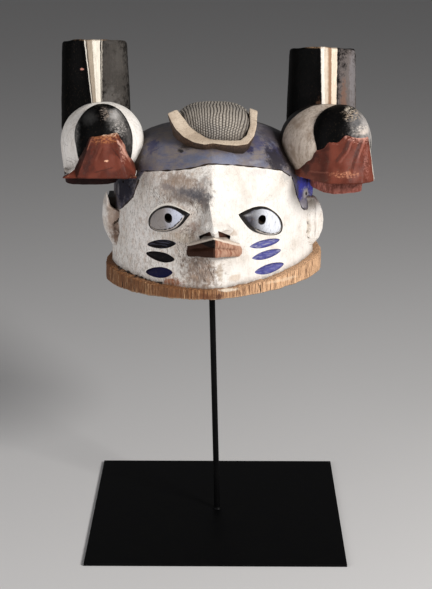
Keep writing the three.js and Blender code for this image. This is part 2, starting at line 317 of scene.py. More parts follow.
def domedPlace(co, shape):
    radius = math.hypot(co.x, co.y)
    angle = denseFront(math.atan2(co.x, -co.y), shape["crowd"])
    low = 1 - ease(co.z, shape["footZ"], shape["shoulderZ"])
    across, along = planPoint(angle, mix(shape["frontPower"], shape["footPower"], low), shape["backPower"])
    lift = clamp((co.z - shape["shoulderZ"]) / (shape["crownZ"] - shape["shoulderZ"]))
    scale = radius * (1 - lift ** shape["domePower"]) ** (1 / shape["domePower"])
    depth = mix(shape["front"], shape["footFront"], low) if along < 0 else shape["back"]
    x = shape["centreX"] + scale * mix(shape["waist"], shape["foot"], low) * across
    y = scale * depth * along
    if along < 0:
        y -= shape["keel"] * max(0, 1 - abs(x - shape["centreX"]) / shape["keelHalf"]) * scale
    return Vector((x, y, co.z))


def domedForm(shape):
    foot, shoulder, crown = shape["footZ"], shape["shoulderZ"], shape["crownZ"]
    walls, domes = shape["wallRows"], shape["domeRows"]
    profile = [(0, foot)] + [(1, mix(foot, shoulder, i / walls)) for i in range(walls)]
    for i in range(domes):
        profile.append((1, mix(shoulder, crown, math.sin(math.pi / 2 * (i / domes) ** shape["bunch"]))))
    profile.append((0, crown))
    bm = turnedForm(profile, shape["steps"])
    return placed(bm, lambda co: domedPlace(co, shape))


def faceY(x, z):
    # depth of the bare head's front surface at a place on it
    lift = clamp((z - head["shoulderZ"]) / (head["crownZ"] - head["shoulderZ"]))
    scale = (1 - lift ** head["domePower"]) ** (1 / head["domePower"])
    low = 1 - ease(z, head["footZ"], head["shoulderZ"])
    across = abs(x - head["centreX"]) / (scale * mix(head["waist"], head["foot"], low))
    power = mix(head["frontPower"], head["footPower"], low)
    reach = max(0.0, 1 - across ** power) ** (1 / power)
    keel = head["keel"] * max(0, 1 - abs(x - head["centreX"]) / head["keelHalf"]) * scale
    return -scale * mix(head["front"], head["footFront"], low) * reach - keel


# Eyes
eye = {
    "seen": 0.9, "depth": 7, "socket": 1.045, "socketDepth": 6.4, "sink": 3, "taper": 0.7,
    "ridge": 1.6, "ridgeHalf": 24, "socketRows": 24, "ballRows": 26,
    "pupilHalfWidth": 3.7, "pupilHalfHeight": 3.9, "pupilDepth": 6, "drillLength": 40,
    "lidRise": 0.9, "lidWidth": 2.3, "lidAway": 2, "lowerLid": 0.2, "behind": -50,
}
eyes = [
    {"x": -43.4, "z": 329.6, "turn": -0.65, "tilt": 0.35, "halfWidth": 25.2, "upper": 15, "lower": 10.9,
     "pupilX": -44, "pupilZ": 334.2, "axisSlope": -0.404, "axisZ": 349.5},
    {"x": 42.1, "z": 325.9, "turn": 0.69, "tilt": -0.42, "halfWidth": 27.8, "upper": 16.6, "lower": 10.6,
     "pupilX": 43.3, "pupilZ": 331.6, "axisSlope": 0.431, "axisZ": 345.5},
]


def eyeFrame(one):
    place = Vector((one["x"], faceY(one["x"], one["z"]) + eye["sink"], one["z"]))
    turned = Matrix.Rotation(one["turn"], 4, "Z") @ Matrix.Rotation(-one["tilt"], 4, "Y")
    return Matrix.Translation(place) @ turned


def eyeHeight(one, u, high):
    # half height of an eye at a place along it, narrowing to the inner corner
    inward = clamp(u * math.copysign(1, -one["x"]))
    return one["upper" if high else "lower"] * (1 - eye["taper"] * inward ** 3)


def eyeRing(co, one):
    # how far outside an eye's visible almond outline a place lies, in millimetres
    local = one["inverse"] @ co
    u = local.x / one["halfWidth"]
    height = eyeHeight(one, u, local.z > 0)
    w = local.z / height
    reach = max(0.05, math.hypot(u, w))
    slope = math.hypot(u / one["halfWidth"], w / height) / reach
    return (reach - eye["seen"]) / max(slope, 0.02)


for side in eyes:
    side["frame"] = eyeFrame(side)
    side["inverse"] = side["frame"].inverted()


def almond(one, scale, depth, ridge, rings):
    pupil = (one["inverse"] @ Vector((one["pupilX"], faceY(one["pupilX"], one["pupilZ"]), one["pupilZ"]))).x

    def place(co):
        across = co.x * one["halfWidth"]
        crest = ridge * max(0, 1 - abs(across - pupil) / eye["ridgeHalf"]) * max(0, -co.y)
        return one["frame"] @ Vector((across * scale, co.y * depth - crest,
                                      co.z * eyeHeight(one, co.x, co.z > 0) * scale))
    return placed(ballForm(rings * 2, rings), place)


# Face
nose = {
    "x": -0.6, "bridgeZ": 354, "tipZ": 326.5, "sideDrop": 2, "underDrop": 12, "underReach": 11,
    "tipY": -113, "bridgeY": -95, "rootY": -80, "halfWidth": 17, "bridgeHalf": 4, "taper": 0.75,
    "slope": 0.72, "round": 1.3, "lean": 5.5,
    "wing": 3.4, "wingAcross": (0.62, 0.22), "wingUp": (0.13, 0.13), "wingWider": 0.05,
    "cells": (28, 24, 26), "roughness": (6, 0.5),
}
mouth = {
    "x": -1.7, "halfWidth": 26.4, "topZ": 322.8, "middleZ": 312.4, "bottomZ": 303.7,
    "cornerTop": 308.8, "cornerMiddle": 303.4, "cornerBottom": 297, "frontY": -111, "sideY": -82.5,
    "groove": 1.5, "grooveHalf": 0.08, "rightGroove": 0.45, "fade": (0.04, 0.3), "puff": 1.8,
    "tipStart": 0.91, "tipHigh": 0.75, "tipLow": 0.55, "lowBow": 0.7, "frontBow": 0.92,
    "cells": (44, 6, 22), "roughness": (5, 0.5),
}
featureRoot = 14
nostrils = [
    # corners as seen from the front: upper left, upper right, lower right, lower left
    {"corners": [(-15.6, 320.2), (-5.0, 324.6), (-2.7, 319.4), (-12.8, 313.9)], "rootX": -14, "fall": -1.5},
    {"corners": [(2.4, 325.2), (14.0, 320.6), (12.6, 314.9), (3.6, 318.4)], "rootX": 14, "fall": 1.5},
]
nostril = {"planeY": -95, "frontY": -128, "rootY": -82.8, "rootZ": 320, "slope": 0.9, "sight": 0.257,
           "rounding": 0.8}
mark = {"halfDepth": 3.4, "turn": 0.72, "innerPoint": 0.5, "outerPoint": 0.12, "around": 36, "rows": 18}
marks = [
    {"x": -50.3, "z": 305.9, "tilt": 0.19, "halfLength": 20, "halfHeight": 4.3},
    {"x": -51.2, "z": 293.2, "tilt": -0.02, "halfLength": 20.4, "halfHeight": 4.9},
    {"x": -52.8, "z": 277.9, "tilt": 0.15, "halfLength": 19.4, "halfHeight": 5.4},
    {"x": 46, "z": 306.0, "tilt": 0.02, "halfLength": 20, "halfHeight": 3.9},
    {"x": 47.8, "z": 295.0, "tilt": 0.06, "halfLength": 19.4, "halfHeight": 4.1},
    {"x": 50.4, "z": 280.9, "tilt": 0.06, "halfLength": 19.6, "halfHeight": 4.8},
]
browHollow = {"x": 17, "z": 341, "radius": 12, "depth": 3.0}
chinCrease = {"top": (-8.4, 294.9), "low": (-1.4, 268.6), "depth": 1.0, "width": 3.0}


def headDepth(co):
    depth = toolMarks(co, *head["marks"])
    depth += wobble(co, *head["swell"])
    depth += head["capStep"] * ease(capReach(co.x, co.y, co.z), -head["capSoft"], head["capSoft"])
    if co.y > -30:
        return depth
    for one in eyes:
        ring = eyeRing(co, one)
        upper = mix(eye["lowerLid"], 1, ease(co.z, one["z"] - 4, one["z"] + 6))
        depth += eye["lidRise"] * upper * math.exp(-((ring - eye["lidAway"]) / eye["lidWidth"]) ** 2)
    for x in (-browHollow["x"], browHollow["x"]):
        away = math.hypot(co.x - head["centreX"] - x, co.z - browHollow["z"]) / browHollow["radius"]
        depth -= browHollow["depth"] * math.exp(-away * away)
    (topX, topZ), (lowX, lowZ) = chinCrease["top"], chinCrease["low"]
    middle = mix(lowX, topX, (co.z - lowZ) / (topZ - lowZ))
    fade = ease(co.z, lowZ - 4, lowZ + 4) * (1 - ease(co.z, topZ, topZ + 6))
    depth -= chinCrease["depth"] * fade * math.exp(-((co.x - middle) / chinCrease["width"]) ** 2)
    return depth


def noseForm():
    (wingX, wingHalf), (wingZ, wingHigh) = nose["wingAcross"], nose["wingUp"]

    def place(co):
        across, depth, height = co.x, (co.y + 1) / 2, (co.z + 1) / 2
        half = mix(nose["halfWidth"], nose["bridgeHalf"], height ** nose["taper"])
        tip = mix(nose["tipY"], nose["bridgeY"], height)
        front = tip + abs(across) ** nose["round"] * (nose["rootY"] - tip) * nose["slope"]
        bulge = math.exp(-((abs(across) - wingX) / wingHalf) ** 2 - ((height - wingZ) / wingHigh) ** 2)
        y = mix(front - nose["wing"] * bulge, nose["rootY"] + featureRoot, depth)
        low = nose["tipZ"] + nose["sideDrop"] * (math.sin(math.pi * abs(across)) - across * across)
        under = nose["underDrop"] * clamp((y - front) / nose["underReach"])
        x = nose["x"] + across * half * (1 + nose["wingWider"] * bulge) - nose["lean"] * height
        return Vector((x, y, mix(low - under, nose["bridgeZ"], height)))
    return pushed(placed(blockForm(nose["cells"]), place), lambda co: wobble(co, *nose["roughness"]))


def mouthForm():
    def place(co):
        across, depth, height = co.x, (co.y + 1) / 2, (co.z + 1) / 2
        bow = 1 - abs(across)
        tip = ease(abs(across), mouth["tipStart"], 1)
        middle = mix(mouth["cornerMiddle"], mouth["middleZ"], bow)
        high = mix(mix(mouth["cornerTop"], mouth["topZ"], bow), middle, tip * mouth["tipHigh"])
        low = mix(mouth["cornerBottom"], mouth["bottomZ"], bow ** mouth["lowBow"])
        low = mix(low, middle, tip * mouth["tipLow"])
        z = mix(low, middle, height * 2) if height < 0.5 else mix(middle, high, height * 2 - 1)
        fade = ease(bow, *mouth["fade"])
        groove = mouth["groove"] * (mouth["rightGroove"] if across > 0.02 else 1) * fade
        groove *= math.exp(-((height - 0.5) / mouth["grooveHalf"]) ** 2)
        puff = mouth["puff"] * fade * math.sin(math.pi * clamp(abs(height - 0.5) * 2))
        front = mix(mouth["sideY"], mouth["frontY"], bow ** mouth["frontBow"]) + groove - puff * (1 - depth)
        y = mix(front, mouth["sideY"] + featureRoot, depth)
        return Vector((mouth["x"] + across * mouth["halfWidth"], y, z))
    return pushed(placed(blockForm(mouth["cells"]), place), lambda co: wobble(co, *mouth["roughness"]))


def nostrilForm(one):
    # a slanting notch cut along the line of sight, its floor following the nose
    upperLeft, upperRight, lowerRight, lowerLeft = [Vector(corner) for corner in one["corners"]]

    def place(co):
        across, height = (co.x + 1) / 2, (co.z + 1) / 2
        x, z = lowerLeft.lerp(lowerRight, across).lerp(upperLeft.lerp(upperRight, across), height)
        if co.y < 0:
            away = nostril["frontY"] - nostril["planeY"]
        else:
            root = nostril["rootY"] + one["fall"] * (x - one["rootX"])
            away = (root - nostril["planeY"] - nostril["slope"] * (z - nostril["rootZ"]))
            away /= 1 - nostril["slope"] * nostril["sight"]
        return Vector((x, nostril["planeY"] + away, z - nostril["sight"] * away))
    bm = placed(blockForm((1, 1, 1)), place)
    bmesh.ops.bevel(bm, geom=bm.edges[:], offset=nostril["rounding"], segments=2, profile=0.5,
                    affect="EDGES", material=-1)
    return bm


def pupilForm(one):
    length = eye["drillLength"]
    y = faceY(one["pupilX"], one["pupilZ"]) + eye["pupilDepth"] - length / 2
    bm = bmesh.new()
    bmesh.ops.create_cone(bm, segments=28, radius1=1, radius2=1, depth=length, cap_ends=True)
    return placed(bm, lambda co: Vector((one["pupilX"] + co.x * eye["pupilHalfWidth"], y + co.z,
                                         one["pupilZ"] + co.y * eye["pupilHalfHeight"])))


def markForm(one):
    side = math.copysign(1, one["x"])
    place = Matrix.Translation((one["x"], faceY(one["x"], one["z"]), one["z"]))
    turn = place @ Matrix.Rotation(side * mark["turn"], 4, "Z") @ Matrix.Rotation(-one["tilt"], 4, "Y")

    def lens(co):
        power = mix(mark["innerPoint"], mark["outerPoint"], (co.x * side + 1) / 2)
        pointed = max(0, 1 - co.x * co.x) ** power
        return turn @ Vector((co.x * one["halfLength"], co.y * mark["halfDepth"],
                              co.z * pointed * one["halfHeight"]))
    return placed(ballForm(mark["around"], mark["rows"]), lens)


# Rim
rimCracks = [(-90.5, 12, 0.55), (42, 9, 0.5)]  # X, height and width of each
seamCracks = [(-1.24, -1.1), (-1.08, -0.95), (-0.92, -0.81), (-0.79, -0.69), (-0.65, -0.58)]  # angles
seamCrack = {"width": 1.15, "steps": 8}


def undersideZ(x):
    return rim["underZ"] + rim["roll"] * (x - head["centreX"])


def rimEdge(angle):
    # the rim's plan at an angle and the height of its top there
    across, along = planPoint(angle, rim["frontPower"], rim["backPower"])
    x = rim["centreX"] + rim["halfWidth"] * across
    y = (rim["front"] if along < 0 else rim["back"]) * along
    sideways = abs(math.sin(angle)) ** 3 if along < 0 else 1
    return x, y, mix(rim["frontHeight"], rim["sideHeight"], sideways)


def rimForm():
    rows = rim["rows"]
    profile = [(0, 0), (0.96, 0), (0.985, 0.015)]
    profile += [(1, mix(0.1, 0.93, i / rows)) for i in range(rows + 1)]
    profile += [(0.985, 1), (0.93, 1), (0, 1)]

    def place(co):
        radius = math.hypot(co.x, co.y)
        angle = denseFront(math.atan2(co.x, -co.y), rim["crowd"])
        edgeX, edgeY, height = rimEdge(angle)
        x = mix(rim["centreX"], edgeX, radius)
        return Vector((x, radius * edgeY, undersideZ(x) + co.z * height))

    def chopped(co):
        # upright chisel flutes over broad flats
        radius = math.hypot(co.x, co.y)
        if radius < rim["choppedFrom"]:
            return 0
        angle = math.atan2(co.x, -co.y)
        along = angle * rim["meanRadius"] / rim["fluteWidth"]
        flute = noise.noise(Vector((along, co.z / rim["fluteLength"], 0)))
        flat = abs((angle * rim["facets"] / (2 * math.pi)) % 1 - 0.5)
        depth = rim["fluteDepth"] * flute + rim["facetDepth"] * (flat - rim["facetBias"])
        return depth + wobble(co, *rim["roughness"])
    return pushed(placed(turnedForm(profile, rim["steps"]), place), chopped)


# Ears
ear = {
    "y": -17, "thick": 6.5, "edgeThick": 3.5, "swept": 7, "dish": 1.7, "helix": 0.64, "depthReach": 19,
    "notchFrom": 0.1, "notchLean": 0.7, "notchWidth": 0.26,
    "scoopAcross": 0.3, "scoopUp": 0.62, "scoopSize": 0.34, "rows": 60, "marks": (7, 0.3, 1.4, 3),
}
earFold = {"at": 0.27, "sway": 0.17, "phase": 0.16, "turns": 15, "height": 2.4, "width": 0.09,
           "below": 0.48, "half": 0.2, "full": 1.5}
earCrease = {"below": 0.83, "lean": 0.12, "width": 0.04, "depth": 2.0, "reach": 0.4, "full": 1.6}
ears = [
    {"side": -1, "rootX": -92.6, "low": 289.5, "high": 344, "notch": 3.4, "scoop": 0,
     "outer": [(-1, 7), (-0.97, 9.4), (-0.73, 12.8), (-0.46, 16.4), (-0.18, 18.3), (0.15, 19), (0.48, 18.3),
               (0.81, 16.4), (1, 14.5)],
     "inner": [(-1, -3), (0.2, -3), (0.32, 1), (0.42, 7.6), (0.5, 10), (0.75, 11.8), (1, 13.6)]},
    {"side": 1, "rootX": 84.4, "low": 289.7, "high": 341, "notch": 1.2, "scoop": 2.6,
     "outer": [(-1, 7), (-0.96, 10.6), (-0.7, 16.2), (-0.36, 19.5), (0, 20.3), (0.3, 19.3), (0.65, 16.6),
               (0.88, 12.6), (0.97, 8.8), (1, 6)],
     "inner": [(-1, -3), (1, -3)]},
]
earBlocks = [
    # the left block is painted near black as painted shade
    {"x": (-107, -84), "y": (-8, 22), "z": (322, 336.5), "finish": "earBackPaintedShade"},
    {"x": (70, 93.6), "y": (-13, 16), "z": (335, 362), "finish": "face"},
]
earBlock = {"cells": (8, 8, 10), "pinch": 0.06, "roughness": (6, 0.8)}
pegHoles = [  # X, Y, Z and radius
    (-88.8, -25, 356.2, 1.5), (-82.7, -34.2, 353.4, 1.0), (86.8, -17.5, 343.1, 1.9), (84, -22.5, 328.9, 1.3),
]


def earForm(one):
    def relief(p, q):
        # p runs from the root 0 to the outer edge 1, q from the lobe -1 to the tip 1
        inner = 1 - ease(p, ear["helix"] - 0.06, ear["helix"] + 0.04)
        depth = ear["dish"] * inner * ease(q, -0.95, -0.6)
        step = (ear["notchFrom"] - ear["notchLean"] * p - q) / ear["notchWidth"]
        if 0 < step < 1:
            depth += one["notch"] * (1 - step) * clamp(2.2 - p * 4)
        scoopP, scoopQ = (p - ear["scoopAcross"]) / ear["scoopSize"], (q - ear["scoopUp"]) / ear["scoopSize"]
        depth += one["scoop"] * clamp(1 - scoopP ** 2 - scoopQ ** 2)
        # a wavy fold in the middle and a thin crease above the lobe
        foldP = earFold["at"] - earFold["sway"] * math.sin((q + earFold["phase"]) * earFold["turns"])
        fold = earFold["height"] * math.exp(-((p - foldP) / earFold["width"]) ** 2)
        depth -= fold * clamp(earFold["full"] - abs(q + earFold["below"]) / earFold["half"])
        crease = math.exp(-((q + earCrease["below"] + earCrease["lean"] * p) / earCrease["width"]) ** 2)
        depth += earCrease["depth"] * crease * clamp(earCrease["full"] - p / earCrease["reach"])
        return depth

    def place(co):
        ring = max(1e-3, math.hypot(co.x, co.y))
        u, v, q = co.x / ring * one["side"], co.y / ring, co.z
        outer, inner = alongLine(one["outer"], q), alongLine(one["inner"], q)
        p = (u + 1) / 2
        thick = mix(ear["thick"], ear["edgeThick"], p) * min(1, ring * 2.2)
        y = ear["y"] + p * ear["swept"] + v * thick
        reach = mix(inner, outer, p)
        if v < 0:
            y += relief(reach / ear["depthReach"], q) * clamp(-v * 3)
        return Vector((one["rootX"] + one["side"] * reach, y, mix(one["low"], one["high"], (q + 1) / 2)))
    return pushed(placed(ballForm(ear["rows"], ear["rows"]), place), lambda co: toolMarks(co, *ear["marks"]))


def earBlockForm(one):
    (x0, x1), (y0, y1), (z0, z1) = one["x"], one["y"], one["z"]

    def place(co):
        pinch = 1 - earBlock["pinch"] * co.z ** 2
        return Vector((mix(x0, x1, (co.x * pinch + 1) / 2), mix(y0, y1, (co.y * pinch + 1) / 2),
                       mix(z0, z1, (co.z + 1) / 2)))
    return pushed(placed(blockForm(earBlock["cells"]), place), lambda co: wobble(co, *earBlock["roughness"]))


# Hair mound and the band round its front
mound = {
    "x": -2.5, "y": -15, "z": 402, "halfWidth": 38.5, "halfLength": 46, "height": 28.2, "square": 2.7,
    "pinch": 0.19, "ribWidth": 2.55, "ribDepth": 0.5, "beadLength": 2.3, "fan": 0.2, "driftScale": 30,
    "ribStart": 40, "runStart": 100, "roughness": (11, 0.5), "around": 96, "slices": 186,
}
band = {
    "outer": [(-46.4, -30, 424), (-42.8, -40, 418), (-38.3, -49, 412), (-31, -58, 406.5),
              (-20.5, -67, 402.6), (-10, -71.5, 401.4), (-2.5, -71.3, 402.8), (8.6, -73, 401.5),
              (20, -73, 400.8), (30, -69, 401.6), (36, -58, 407), (38.5, -46, 414.5), (39.7, -26, 426)],
    "inner": [(-37.1, -24, 427), (-31.2, -33, 421), (-22.8, -42.5, 414.4), (-16.2, -51, 409.5),
              (-10.6, -58, 406.8), (-6, -61.6, 405.4), (-1.5, -64, 405), (6, -65.3, 404.8),
              (14, -65.5, 404.5), (22.5, -64, 404.4), (29, -56, 408), (31.9, -45, 415), (31.6, -22, 428.5)],
    "footZ": 382, "tuck": 0.24, "cells": (104, 6, 12), "soften": 2, "marks": (5, 0.4, 2.2, 8),
}


def moundForm():
    bm = ballForm(mound["around"], mound["slices"])
    bmesh.ops.rotate(bm, verts=bm.verts, cent=(0, 0, 0), matrix=Matrix.Rotation(math.pi / 2, 3, "Y"))
    ribs, runs = bm.verts.layers.float.new("rib"), bm.verts.layers.float.new("run")
    for v in bm.verts:
        spread = 1 + mound["fan"] * clamp(v.co.z - 0.5, -1, 0.5)
        spot = v.co * mound["driftScale"]
        drift = wobble(spot, 13, 0.5) + wobble(spot, 5, 0.2)
        v[ribs] = mound["ribStart"] + v.co.x * mound["halfWidth"] / (mound["ribWidth"] * spread) + drift
        v[runs] = mound["runStart"] + math.atan2(v.co.y, v.co.z) * mound["halfLength"]

    def place(co):
        co = co / sum(abs(part) ** mound["square"] for part in co) ** (1 / mound["square"])
        drawn = 1 - mound["pinch"] * clamp(2 * max(0, -co.x) * max(0, -co.y))
        return Vector((mound["x"] + co.x * mound["halfWidth"] * drawn,
                       mound["y"] + co.y * mound["halfLength"] * drawn, mound["z"] + co.z * mound["height"]))

    def ribbed(v):
        rib = abs(math.sin(math.pi * v[ribs])) - 0.5
        return v.normal * (mound["ribDepth"] * rib + wobble(v.co, *mound["roughness"]))
    placed(bm, place)
    bm.normal_update()
    moves = [(v, ribbed(v)) for v in bm.verts]
    for v, move in moves:
        v.co += move
    return bm


def bandForm():
    middle = Vector((mound["x"], mound["y"], 0))

    def place(co):
        along, depth, height = (co.x + 1) / 2, (1 - co.y) / 2, (co.z + 1) / 2
        edge = alongOutline(band["inner"], along).lerp(alongOutline(band["outer"], along), depth)
        drawn = edge.lerp(middle, band["tuck"] * (1 - height))
        return Vector((drawn.x, drawn.y, mix(band["footZ"], edge.z, height)))
    bm = softened(placed(blockForm(band["cells"]), place), band["soften"])
    return pushed(bm, lambda co: toolMarks(co, *band["marks"]))


# Posts
posts = [
    {"x": -117.4, "topZ": 491, "halfTop": 31, "halfFoot": 34.5, "stripe": [(395, 4.7, 2.4), (491, 0.1, 7.6)],
     "chips": [(-24, 5, 1.6), (-5, 4, 1.4), (4, 5, 1.2), (17, 4, 1.1)]},
    {"x": 102, "topZ": 484, "halfTop": 31.5, "halfFoot": 34.5, "stripe": [(395, 6.6, 6.8), (484, 5.1, 8.5)],
     "chips": [(-24, 4, 1.4), (9, 7, 1.8), (24, 12, 2.6)]},
]
post = {
    "y": 16, "halfDepth": 30, "footZ": 372, "footStart": 0.25, "fall": 0.2, "fallPower": 4,
    "ridge": 2.4, "fillet": 5.0, "waist": 1.5, "frontPower": 2.3, "backPower": 2,
    "chipsFrom": 0.96, "chipPower": 4,
    "steps": 120, "rows": 54, "crowd": 1.25, "marks": (13, 0.6, 2.4), "roughness": (3.5, 0.12),
}


def stripeAt(one, z):
    # the stripe's middle and half width at a height, measured from the post's middle
    (lowZ, lowX, lowHalf), (highZ, highX, highHalf) = one["stripe"]
    t = clamp((z - lowZ) / (highZ - lowZ))
    return mix(lowX, highX, t), mix(lowHalf, highHalf, t)


def postForm(one):
    rows = post["rows"]
    profile = [(0, 0), (0.6, 0), (0.76, 0.05), (0.9, 0.13)]
    profile += [(1, mix(post["footStart"], 0.975, i / rows)) for i in range(rows + 1)]
    profile += [(0.985, 0.99), (0.955, 1), (0.85, 1.003), (0.7, 1.004), (0.35, 1.006), (0, 1.006)]

    def place(co):
        radius = math.hypot(co.x, co.y)
        angle = denseFront(math.atan2(co.x, -co.y), post["crowd"])
        across, along = planPoint(angle, post["frontPower"], post["backPower"])
        rise = max(0, co.z)
        half = mix(one["halfFoot"], one["halfTop"], rise ** post["waist"])
        z = mix(post["footZ"], one["topZ"], co.z)
        middle, width = stripeAt(one, z)
        x = radius * half * across
        lift = 0
        if along < 0:
            lift = post["ridge"] * (1 - ease(abs(x - middle), width, width + post["fillet"]))
        y = radius * along * post["halfDepth"] * (half / one["halfFoot"]) - lift * radius
        fall = post["fall"] * (y + post["halfDepth"]) * rise ** post["fallPower"]
        if along < 0 and rise > post["chipsFrom"]:
            chipped = sum(deep * math.exp(-((x - spot) / wide) ** 2) for spot, wide, deep in one["chips"])
            fall += chipped * radius ** post["chipPower"]
        return Vector((one["x"] + x, post["y"] + y, z - fall))

    def depth(co):
        return toolMarks(co, *post["marks"], one["x"]) + wobble(co, *post["roughness"])
    return pushed(placed(turnedForm(profile, post["steps"]), place), depth)


# Hoods, domes, beaks and the slabs under the beaks
hoods = [
    {"x": -108, "turn": 0, "beakZ": 369.5, "flare": 1.3, "lipZ": 361, "lipX": -10.3, "lipHalf": 26,
     "halfWidth": 39.9, "shift": -1.2, "rise": 38, "backEdge": 16, "backTilt": 0, "legs": (38, 30),
     "domeX": 1.9, "domeHalf": 28, "domeHeight": 36.5, "crestX": 5,
     "topZ": 412.5, "topFall": (9, 5), "fallFrom": (0.1, 0.3), "sideChamfer": 0,
     "beakTop": [(-14, -46), (-8, -56.5), (4.5, -59.5), (16.5, -57), (21.5, -46)],
     "beakFoot": [(-27, -50), (-21.5, -60.5), (2, -63.5), (27, -60.5), (33, -50)],
     "ridges": [((-0.12, 0.92), (-0.4, 0.1), 1.1, 0.5), ((0.42, 0.85), (0.34, 0.15), 0.9, 0.4)]},
    {"x": 106.5, "turn": 0.38, "beakZ": 365.5, "flare": 1.25, "lipZ": 352.5, "lipX": 0.3, "lipHalf": 21.5,
     "halfWidth": 42.5, "shift": -2, "rise": 36.5, "backEdge": -1.4, "backTilt": 0.2, "legs": (31, 37),
     "domeX": -0.8, "domeHalf": 30.2, "domeHeight": 35.6, "crestX": 3,
     "topZ": 410.5, "topFall": (13, 4), "fallFrom": (0.5, 0.3), "sideChamfer": 1,
     "beakTop": [(-33, -34), (-21, -52.5), (-7, -60), (4, -58), (18, -51.5), (27, -36)],
     "beakFoot": [(-37, -20), (-28, -56), (-12, -66), (3, -71), (19, -65), (34, -30)],
     "ridges": [((0.3, 0.86), (-0.1, 0.2), 1.9, 0.6), ((0.6, 0.84), (0.16, 0.08), 1.5, 0.35)]},
]
hood = {"y": -14, "z": 393.5, "halfDepth": 50, "steps": 112, "rise": 34, "drop": 14, "marks": (12, 0.5, 1.5)}
dome = {"forward": 30, "z": 398, "halfDepth": 26, "legs": (21.5, 21.5), "crest": 2.4, "crestHalf": 20,
        "steps": 84, "rise": 28, "drop": 14, "marks": (11, 0.45, 1.3)}
beak = {"backY": 10, "chamfer": 5.5, "chamferFrom": 0.87, "chamferPower": 1.3, "sideDepth": 9,
        "sideFrom": 0.66, "sideSpan": (0.1, 0.5), "topPower": 1.4, "cells": (48, 8, 30),
        "marks": (11, 0.9, 1.3), "roughness": (4, 0.3)}
skirt = {"topZ": 387, "topHalf": 17, "footHalf": 34.4, "flare": 2.1, "topY": -45, "footY": -60,
         "thick": 9, "grow": 2.5, "cells": (36, 8, 18), "marks": (11, 0.5, 1.3)}
lip = {"y": -16, "halfDepth": 32.5, "overlap": 2, "taper": 0.95, "square": 3.6, "steps": 72, "rows": 5,
       "marks": (6, 0.6, 1.6)}


def hoodFrame(one):
    return Matrix.Translation((one["x"], hood["y"], 0)) @ Matrix.Rotation(one["turn"], 4, "Z")


def horseshoe(shape, halfWidth, height, fall, legs):
    # round above its middle, nearly straight legs below it
    rise, drop = shape["rise"], shape["drop"]
    profile = [(0, -1)] + [(1, -1 + i / (drop + 1)) for i in range(drop + 1)]
    profile += [(1, math.sin(math.pi / 2 * (i / rise))) for i in range(rise)] + [(0, 1)]

    def place(co):
        radius = math.hypot(co.x, co.y)
        angle = math.atan2(co.x, -co.y)
        if co.z > 0:
            girth = math.sqrt(max(0, 1 - co.z ** 2))
        else:
            girth = mix(1, mix(legs[0], legs[1], (math.sin(angle) + 1) / 2) / halfWidth, co.z ** 2)
        return Vector((radius * girth * halfWidth * math.sin(angle),
                       -radius * girth * shape["halfDepth"] * math.cos(angle),
                       co.z * (height if co.z > 0 else fall)))
    return placed(turnedForm(profile, shape["steps"]), place)


def hoodForm(one):
    drop = hood["z"] - one["beakZ"]
    bm = horseshoe(hood, one["halfWidth"], one["rise"], drop, one["legs"])
    turn = hoodFrame(one) @ Matrix.Translation((one["shift"], 0, hood["z"]))
    placed(bm, lambda co: turn @ co)
    return pushed(bm, lambda co: toolMarks(co, *hood["marks"], one["x"]))


def domeForm(one):
    drop = dome["z"] - one["beakZ"] - 2
    bm = horseshoe(dome, one["domeHalf"], one["domeHeight"], drop, dome["legs"])
    turn = hoodFrame(one) @ Matrix.Translation((one["domeX"], -dome["forward"], dome["z"]))

    def crested(co):
        away = abs(co.x + one["domeX"] - one["crestX"]) / dome["crestHalf"]
        crest = dome["crest"] * max(0, 1 - away) if co.y < 0 else 0
        return turn @ Vector((co.x, co.y - crest, co.z))
    placed(bm, crested)
    return pushed(bm, lambda co: toolMarks(co, *dome["marks"], one["x"] + 4))


def facetStep(across, height, ridges):
    # how far the surface lies back on the left of each carved edge, easing out further left
    back = 0
    for (topX, topZ), (lowX, lowZ), depth, width in ridges:
        away = mix(lowX, topX, (height - lowZ) / (topZ - lowZ)) - across
        if away > 0:
            fade = ease(height, lowZ - 0.08, lowZ + 0.08) * (1 - ease(height, topZ - 0.08, topZ + 0.04))
            back += depth * fade * max(0, 1 - away / width)
    return back


def beakForm(one):
    turn = hoodFrame(one)

    def place(co):
        across, depth, height = (co.x + 1) / 2, (co.y + 1) / 2, (co.z + 1) / 2
        drop = (1 - height) ** one["flare"]
        edge = alongOutline(one["beakTop"], across).lerp(alongOutline(one["beakFoot"], across), drop)
        side = ease(-co.x, *beak["sideSpan"]) * one["sideChamfer"]
        start = mix(beak["chamferFrom"], beak["sideFrom"], side)
        chamfer = mix(beak["chamfer"], beak["sideDepth"], side)
        chamfer *= clamp((height - start) / (1 - start)) ** beak["chamferPower"]
        fallSide = 0 if co.x < 0 else 1
        fallFrom = one["fallFrom"][fallSide]
        outward = clamp((abs(co.x) - fallFrom) / (1 - fallFrom))
        top = one["topZ"] - one["topFall"][fallSide] * outward ** beak["topPower"]
        front = edge.y + chamfer + facetStep(co.x, height, one["ridges"])
        return turn @ Vector((edge.x, mix(front, beak["backY"], depth), mix(one["beakZ"], top, height)))
    bm = softened(placed(blockForm(beak["cells"]), place), 1)

    def carved(co):
        return toolMarks(co, *beak["marks"], one["x"] + 9) + wobble(co, *beak["roughness"])
    return pushed(bm, carved)


